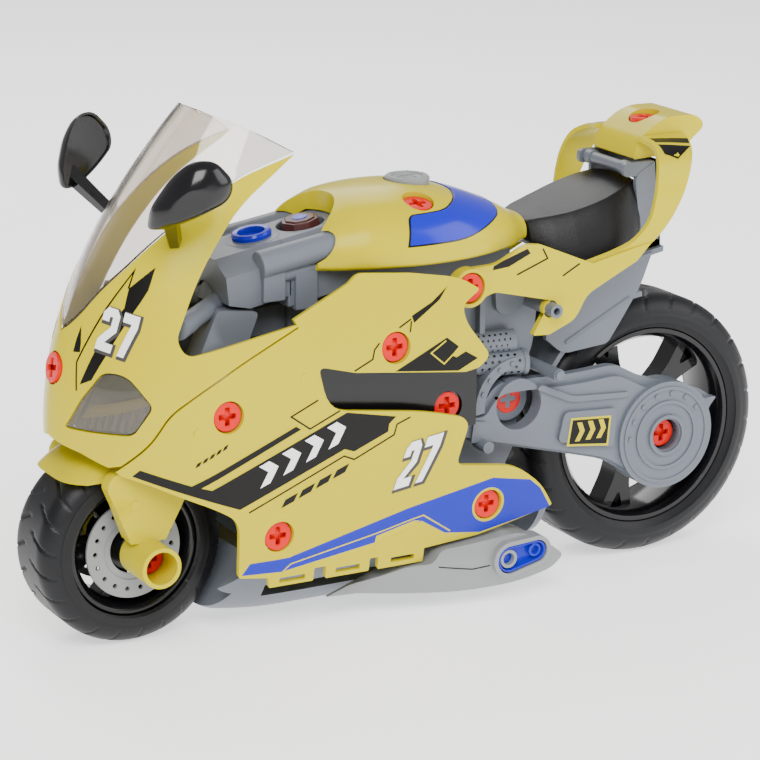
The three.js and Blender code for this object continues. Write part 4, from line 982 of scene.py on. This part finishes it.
def engine():
    block = rounded([(-42, 34, 4), (-42, 94, 6), (-6, 106.4), (52, 102), (50, 84, 3), (44.5, 70),
                     (44, 50, 4), (34, 32, 4)])
    shapes = [plate([block], -15, -0.2)]
    shapes += [box(27, 29, -18, -14, 88, 104), box(-2, 24, -17.6, -14, 88, 90)]
    hook = rounded([(33, 106), (33.6, 98.4, 4), (38, 96.4, 3), (44, 99, 4), (45, 103.4)])
    shapes.append(plate([hook], -17.8, -14))
    shapes += [rod((18, -14.6, 87.4), (40, -18.8, 88), 3.9), rod((20, -15.8, 80.2), (44, -20.4, 80.4), 4.3)]
    shapes += [rod((20, -15.8, 80.2), (22, -16.2, 80.2), 5), rod((42.5, -20.2, 80.4), (44, -20.5, 80.4), 4.6)]
    shapes += [pin(18, 76, 5.2, -21, -14)] + [pin(18, 76, 6.2, y, y + 1) for y in (-20, -18.2, -16.4)]
    arc = [(-23.4, 16.6), (-23.4, 13), (-14, 13), (-14, 16.6)]
    ring, faces = turned(arc, *PIVOT, 96)
    keep = [f for f in faces if all(ring[i][0] < 40.5 and ring[i][2] > 64 for i in f)]
    shapes.append((ring, keep))
    shapes += [pin(PIVOT[0] + 14.8 * math.cos(a), PIVOT[1] + 14.8 * math.sin(a), 0.8, -24, -23, 10)
               for a in (math.radians(d) for d in (100, 120, 140, 160))]
    shapes += [pin(*PIVOT, 7.6, -17, -14), pin(49, 78, 2.1, -34.5, -13), pin(49, 78, 1.6, -35.2, -34.4)]
    shapes.append(plate([circle(47.3, 100.6, 2.4), circle(47.3, 100.6, 1.3)], -34.5, -13, 2))
    pair("engine_look", shapes, GREY, "body", ["engine_half"], slot="frame_grey", bevel=0.35)
    # The cylinders' holes are drawn as black dots: painted shade standing in for the dark inside of each
    # hole.
    lower, upper = ((24, -16.6, 80.3), (41, -19.9, 80.4)), ((24, -15.8, 87.6), (38, -18.4, 88))
    holes = []
    for row in range(4):
        lean = math.radians(40 + 30 * row)
        out = Vector((0, -math.sin(lean), math.cos(lean)))
        for k in range(7):
            along = (k + 0.5 * (row % 2)) / 7
            for (start, end), skin, radius in ((lower, 3.6, 0.52), (upper, 3.2, 0.46)):
                at = Vector(start).lerp(Vector(end), along)
                holes.append(rod(at + out * skin, at + out * (skin + 0.76), radius, radius, 10))
    pair("cylinder_hole_shade", holes, BLACK, "body")


def rear_subframe():
    wall_shape = rounded([(55, 104.6), (97, 112.4), (92.6, 101, 4), (85.6, 90.4, 4), (79.4, 81.6, 2),
                          (61, 80, 3), (54, 86)])
    wall_plate = plate([wall_shape], -17.6, -15.6)
    ribs = [rod((58, -17.4, 102), (82, -17.4, 106), 0.9, 0.9, 10),
            rod((62, -17.4, 84), (88, -17.4, 97), 0.9, 0.9, 10)]
    room = REAR["radius"] + 1.9
    guard, faces = turned([(-16.4, room), (16.4, room), (16.4, room + 1.8), (-16.4, room + 1.8)], REAR["x"],
                          REAR["radius"],
                          160)
    keep = [f for f in faces if all(-50 < guard[i][0] - REAR["x"] < -5.5 and guard[i][2] > 72 for i in f)]
    deck = plate([[(53, 103), (53, 105), (102, 114), (102, 112)]], -17, 17)
    post = plate([[(96.4, 111), (98.2, 144.2), (101, 144.2), (102, 112)]], -15, -9)
    cross = [plate([[(96.5, 112), (97, 117), (101.6, 117), (102, 112)]], -15, 15),
             plate([[(97.8, 136), (98.2, 144.2), (101, 144.2), (101, 136)]], -15, 15)]
    lug = plate([rounded([(85.6, 139.4, 2), (85.6, 144.2, 2), (99.4, 144.2), (99.4, 139.4)])], -15, -13.2)
    cheek = plate([rounded([(93, 120), (90.4, 139.6, 3), (98.4, 144), (101, 116)])], -15.2, -13.4)
    shapes = both([wall_plate, *ribs, post, lug, cheek]) + [(guard, keep), deck, *cross]
    piece("rear_subframe_look", shapes, GREY, "body", ["rear_subframe"], "frame_grey", 0.4)


# ---------------------------------------------------------------- swingarm
def swingarm():
    blade = [(17.8, 56.4, 1), (19, 67.3, 1), (26, 67, 2), (31.6, 74.4, 5), (44, 74.4, 5), (62, 73.8, 8),
             (80, 75, 4),
             (92, 68.6, 4), (104, 66, 4), (116, 61.6, 1.5), (122.4, 57.4, 1.5), (118.6, 53, 2),
             (119.6, 44, 8), (116, 33, 9),
             (101, 26.4, 9), (88, 33, 5), (76, 41, 5), (60, 45.4, 5), (29, 53.4, 5)]
    hub = (REAR["x"], REAR["radius"])
    pivot = circle(*PIVOT, 9, 40)
    outer = [(x, z - 3.4 if z > 60 else z + 1.2, *more) for x, z, *more in blade]
    hub_hole = circle(*hub, 5.6, 36)
    shapes = [plate([rounded(blade), pivot, hub_hole], -22, -18.4, 6),
              plate([rounded(outer), pivot, hub_hole], -24.2, -21.8, 6)]
    shapes.append(plate([circle(*hub, 19.4, 72), hub_hole], -25.6, -15.6, 6))
    for radius, y in ((17.6, -26), (12.6, -26.2), (7.4, -26.6)):
        shapes.append(plate([circle(*hub, radius, 64), circle(*hub, radius - 1.2, 64)], y, -25, 3))
    for k in range(7):
        a = math.radians(35 + 24 * k)
        x, z = hub[0] + 15.1 * math.cos(a), hub[1] + 15.1 * math.sin(a)
        shapes.append(rod((x, -26.1, z), (x, -25, z), 0.9, 0.9, 10))
    label = rounded([(55, 51, 2), (57.4, 61.4, 2), (79, 60.2, 2), (78, 46, 2)])
    shapes.append(plate([label], -25.6, -24))
    ridge = [(46, 71, 2), (60, 64.6, 3), (84, 63.4, 2), (84, 65.2, 2), (61, 66.6, 3), (48, 72.4, 1)]
    shapes.append(plate([rounded(ridge)], -25.2, -24))
    shapes.append(plate([rounded([(20, 55.4, 1), (21, 63, 1), (27, 62, 2), (28, 55.6, 2)])], -25.4, -22))
    shapes.append(pin(24.4, 54.4, 2.1, -29.6, -22))
    piece("swingarm_look", shapes, GREY, "body", ["swingarm"], "frame_grey", 0.5)

    def flat(x, z, depth=0.0):
        return (x, -25.6 + depth, z)

    frame_mark = [(58.4, 49), (60, 59), (76.6, 57.8), (75.6, 47)]
    printed("arm_label_edge", [frame_mark], flat, INK_YELLOW, (0, -1, 0), sides="one")
    printed("arm_label", [grown(frame_mark, -0.8)], flat, INK_BLACK, (0, -1, 0), 3, 2 * DECAL, "one")
    for k in range(3):
        x = 61.6 + 4.4 * k
        mark = [(x, 50.4), (x + 2, 50.3), (x + 4, 53.8), (x + 2.8, 57), (x + 0.8, 57.1), (x + 2, 53.9)]
        printed(f"arm_mark_{k}", [mark], flat, INK_YELLOW, (0, -1, 0), 3, 3 * DECAL, "one")


# ---------------------------------------------------------------- belly and exhaust
BELLY = [(-80, 25, 10), (-72, 28.4, 5.6), (-55, 30, 3.4), (-30, 30, 3), (0, 29, 3.2), (30, 27, 5.6),
         (54, 22, 13)]
BELLY_POWER = 3


def belly():
    rows = []
    for x, half, low in smooth_rows(BELLY, 60):
        ring = [(x, half * a, low + (29 - low) * abs(a) ** BELLY_POWER) for a in np.linspace(-1, 1, 41)]
        rows.append(ring + [(x, 0.0, 28.4)])
    pan = piece("belly_pan_look", [lofted(rows)], GREY, "body", ["belly_pan"], "frame_grey")
    room = [(-35.4, 8.4), (-8.6, 18.2), (0, 19), (4, 30), (70, 30), (70, 5.6), (14, 5.6)]
    carve(pan, [pin(FRONT["x"], FRONT["radius"], FRONT["radius"] + 3, -21.5, 21.5, 80),
                plate([room], -60, -22),
                plate([room], 22, 60), box(-58, 51, -24, 24, 12, 40),
                plate([[(-95, 13.5), (-81, 13.5), (-66, 23), (-64, 40), (-95, 40)]], -60, 60)])


def muffler_y(x, z):
    return -max(39 - 0.0045 * (x - 30) ** 2 - 0.035 * (z - 17) ** 2, 24)


def muffler():
    side = [(-34.6, 8.8), (-8.2, 17.8, 3), (0, 18.2, 2), (3.4, 22.6, 2), (20, 24.2, 4), (34, 25.2, 6),
            (43, 20.6, 4), (51, 14.4, 2),
            (47, 9.8, 4), (34, 6.8, 9), (14, 6, 12)]
    ends = ((27.4, 17, 4.5), (38, 18.6, 3.6))
    pod = hull_of_two(*[(x, z, r + 1.9) for x, z, r in ends])
    hole = hull_of_two(*[(x, z, r + 0.4) for x, z, r in ends])
    shapes = [plate([rounded(side), hole], muffler_y, -22.6, 3), plate([pod, hole], -40.6, -34, 3)]
    seam = stroke([(2, 17), (14, 15), (20.4, 15.6)], 0.4)[0]
    pair("muffler_look", shapes, SILVER, "body", ["muffler"], slot="silver_grey", bevel=0.5)
    pair("muffler_seam", [plate([seam], lambda x, z: muffler_y(x, z) - 0.06, lambda x,
                                z: muffler_y(x, z) + 0.2, 2)], BLACK,
         "body")
    cup = hull_of_two(*ends)
    outlet = [plate([cup], -37.4, -36.8), plate([cup, hull_of_two(*[(x, z, r - 0.7) for x, z, r in ends])],
                                                -40, -37.2, 2)]
    outlet.append(plate([circle(38, 18.6, 2.4), circle(38, 18.6, 1.5)], -39, -37.2, 2))
    pair("exhaust_outlet_look", outlet, BLUE, "body", ["exhaust_outlet"], slot="accent_blue", bevel=0.2)
    tip = [plate([circle(27.4, 17, 3.3), circle(27.4, 17, 2.1)], -39.4, -37.2, 2)]
    pair("exhaust_tip", tip, SILVER, "body", bevel=0.2)


# ---------------------------------------------------------------- wheels and fork
def tyre(wheel, name, body, grooves):
    half, radius, bead = wheel["half"], wheel["radius"], wheel["rim"] + 0.4
    crown = []
    for k in range(49):
        angle = math.radians(-90 + 180 * k / 48)
        y = half * math.copysign(abs(math.sin(angle)) ** 0.8, angle)
        fall = max(abs(y) - 7, 0) / (half - 7)
        crown.append((y, radius - 9.5 * (1 - math.sqrt(max(1 - fall ** 2.3, 0)))))
    profile = crown + [(half - 0.3, bead + 4), (half - 1.6, bead + 1.6), (half - 2.4, bead),
                       (2.4 - half, bead),
                       (1.6 - half, bead + 1.6), (0.3 - half, bead + 4)]

    def tread(angle, y, r):
        if r < radius - 8:
            return 0
        swept = (angle / math.tau * grooves + abs(y) / half * 0.8 + (0.5 if y > 0 else 0)) % 1
        cut = 0.5 if abs(swept - 0.5) < 0.05 and 2.4 < abs(y) < half * 0.93 else 0
        return cut + (0.4 if abs(abs(y) - half * 0.965) < 0.25 else 0)

    piece(name, [turned(profile, wheel["x"], radius, 420, tread)], RUBBER, body,
          [name.replace("_look", "")], "tyre_black")


def rim(wheel, name, body, spokes, hub_radius, hub_half):
    outer, half = wheel["rim"], wheel["half"] - 2.4
    x, z = wheel["x"], wheel["radius"]
    barrel = [(-half, outer), (half, outer), (half, outer - 1.6), (half - 1.4, outer - 2.6),
              (half - 3, outer - 3.6),
              (3 - half, outer - 3.6), (1.4 - half, outer - 2.6), (-half, outer - 1.6)]
    shapes = [turned(barrel, x, z, 120), plate([circle(0, 0, hub_radius, 48), circle(0, 0, 3.4, 24)],
                                               -hub_half, hub_half, 4)]
    shapes[1] = moved(shapes[1], Matrix.Translation((x, 0, z)))
    for k in range(spokes):
        arm = rounded([(hub_radius - 2, -2.8), (outer * 0.62, -3.4, 3), (outer - 2.6, -6.6),
                       (outer - 2.6, -2.6),
                       (outer * 0.74, 0, 2), (outer - 2.6, 2.6), (outer - 2.6, 6.6), (outer * 0.62, 3.4, 3),
                       (hub_radius - 2, 2.8)])
        spoke = plate([arm], -4.6, 4.6)
        turn = Matrix.Translation((x, 0, z)) @ Matrix.Rotation(k / spokes * math.tau + 0.5, 4, "Y")
        shapes.append(moved(spoke, turn))
    piece(name, shapes, BLACK, body, [name.replace("_look", "")], "gloss_black", 0.5)


def wheels():
    tyre(FRONT, "front_tyre_look", "front_wheel", 22)
    tyre(REAR, "rear_tyre_look", "rear_wheel", 26)
    rim(FRONT, "front_rim_look", "front_wheel", 5, 8, 9.4)
    rim(REAR, "rear_rim_look", "rear_wheel", 5, 10, 12)
    holes = [circle(13.6 * math.cos(a), 13.6 * math.sin(a), 0.8, 12) for a in np.arange(18) * math.tau / 18]
    disc = plate([circle(0, 0, 16.7, 72), circle(0, 0, 10.4, 48), *holes], -11.9, -10.7, 2.5)
    carrier = [plate([circle(0, 0, 11.4, 48), circle(0, 0, 8.2, 40)], -11.6, -10.9, 3)]
    spot = Matrix.Translation((FRONT["x"], 0, FRONT["radius"]))
    pair("brake_disc_look", [moved(shape, spot) for shape in [disc, *carrier]], SILVER, "front_wheel",
         ["brake_disc"],
         slot="silver_grey", bevel=0.15)


def fork():
    crown, side = FRONT["radius"] + 3.3, 17.4
    outer = [(-side, crown - 9), (-side, crown - 4)]
    for k in range(17):
        y = -side + 2 * side * k / 16
        outer.append((y, crown - 4 * abs(y / side) ** 4))
    outer += [(side, crown - 4), (side, crown - 9)]
    inner = [(y * 0.92, r - 1.5) for y, r in outer[::-1]]
    arch, faces = turned(outer + inner, FRONT["x"], FRONT["radius"], 240)
    guard = piece("mudguard_look", [(arch, faces)], YELLOW, "steering", slot="body_yellow", bevel=0.4)
    away = [(-150, -10), (-50, -10), (-50, 110), (-84, 110), (-84, 66), (-98, 58.5), (-150, 58.5)]
    carve(guard, [plate([away], -30, 30, 99)])
    blade = plate([rounded([(-106, 38.8), (-113, 58, 4), (-97, 76.4, 3), (-78, 76.4, 3), (-85.5, 50, 4),
                            (-93.6, 38.8)])],
                  -19.6, -15.8)
    face = plate([rounded([(-106.2, 38.6), (-114.6, 58.6, 2), (-112, 63, 3), (-86, 63, 3), (-84, 57, 3),
                           (-94, 38.6)])],
                 -24, -19)
    axle = (FRONT["x"], FRONT["radius"])
    tube = plate([circle(*axle, 6.9, 56), circle(*axle, SCREW_HOLE, 48)], -34, -15.8, 3)
    floor = plate([circle(*axle, 6.4, 48), circle(*axle, 3.2, 24)], -21, -15.8, 3)
    dimple = pin(-104.6, 51.6, 1.6, -24.3, -23.6)
    piece("fork_legs_look", both([blade, face, dimple]), YELLOW, "steering", ["fork_and_mudguard"],
          "body_yellow", 0.5)
    piece("axle_tubes_look", both([tube, floor]), YELLOW, "steering", slot="body_yellow", bevel=0.3)


def steering():
    stem = rod(on_steering_axis(16.5), on_steering_axis(66), 6)
    clamp = rod(on_steering_axis(20), on_steering_axis(26), 9.5)
    bar = [rod((-66, -6, 110.8), (-90.5, -27.6, 109.4), 3.3),
           rod((-84, -21.8, 109.8), (-90.8, -27.8, 109.4), 3.7),
           rod((-90.7, -27.7, 109.4), (-91.2, -28.2, 109.4), 1.2)]
    lug = plate([rounded([(-83, 86, 2), (-66, 86, 2), (-57, 109, 2), (-72, 111, 2)])], -18, -11)
    bridge = plate([rounded([(-91, 77, 2), (-70, 77, 2), (-64, 88, 3), (-84, 90, 3)])], -21, 21)
    piece("steering_yoke_look", [stem, clamp, bridge, *both([*bar, lug])], GREY, "steering",
          ["steering_yoke"], "frame_grey",
          0.5)


# ---------------------------------------------------------------- CAD pieces that stay as they are
def kept():
    for name in ("front_axle", "rear_axle"):
        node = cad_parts[name]
        node.data.materials.clear()
        node.data.materials.append(SILVER)
        add_bevel(node, 0.3)


# ---------------------------------------------------------------- studio and camera
def studio():
    mesh = bpy.data.meshes.new("floor")
    reach, top = 6, -0.0004
    corners = [(-reach, -reach, top), (reach, -reach, top), (reach, reach, top), (-reach, reach, top)]
    mesh.from_pydata(corners, [], [(0, 1, 2, 3)])
    mesh.materials.append(FLOOR)
    floor = linked("floor", mesh)
    world = bpy.data.worlds.new("studio")
    bpy.context.scene.world = world
    world.use_nodes = True
    world.node_tree.nodes["Background"].inputs["Color"].default_value = (1, 1, 1, 1)
    world.node_tree.nodes["Background"].inputs["Strength"].default_value = 0.55
    for name, at, size, power in (("key", (-0.5, -0.9, 1.0), 0.7, 20), ("fill", (0.9, -0.7, 0.6), 0.8, 8),
                                  ("rim", (0.2, 0.9, 0.9), 0.8, 8)):
        light = bpy.data.lights.new(name, "AREA")
        light.energy = power
        light.size = size
        lamp = linked(name, light)
        lamp.location = at
        lamp.rotation_euler = (Vector((0, 0, 0.08)) - Vector(at)).to_track_quat("-Z", "Y").to_euler()


def camera():
    """A long lens from the left front, a little above."""
    azimuth, elevation, roll = math.radians(-29.287), math.radians(15.799), math.radians(0.582)
    distance = 1.02581
    target = Vector(((-1.6 + SHIFT) * MM, 0, 0.07424))
    level = math.cos(elevation)
    back = Vector((math.sin(azimuth) * level, -math.cos(azimuth) * level, math.sin(elevation)))
    data = bpy.data.cameras.new("photo_view")
    data.sensor_width = 36
    data.lens = 142.10526
    view = linked("photo_view", data)
    view.location = target + back * distance
    look = (-back).to_track_quat("-Z", "Y")
    view.rotation_mode = "QUATERNION"
    view.rotation_quaternion = look @ Matrix.Rotation(roll, 3, "Z").to_quaternion()
    bpy.context.scene.camera = view


nose()
windshield()
mirrors()
side_fairing()
fairing_prints()
nose_prints()
tank()
seat()
tail()
airbox()
button()
engine()
rear_subframe()
swingarm()
belly()
muffler()
wheels()
fork()
steering()
screws()
kept()
studio()
camera()
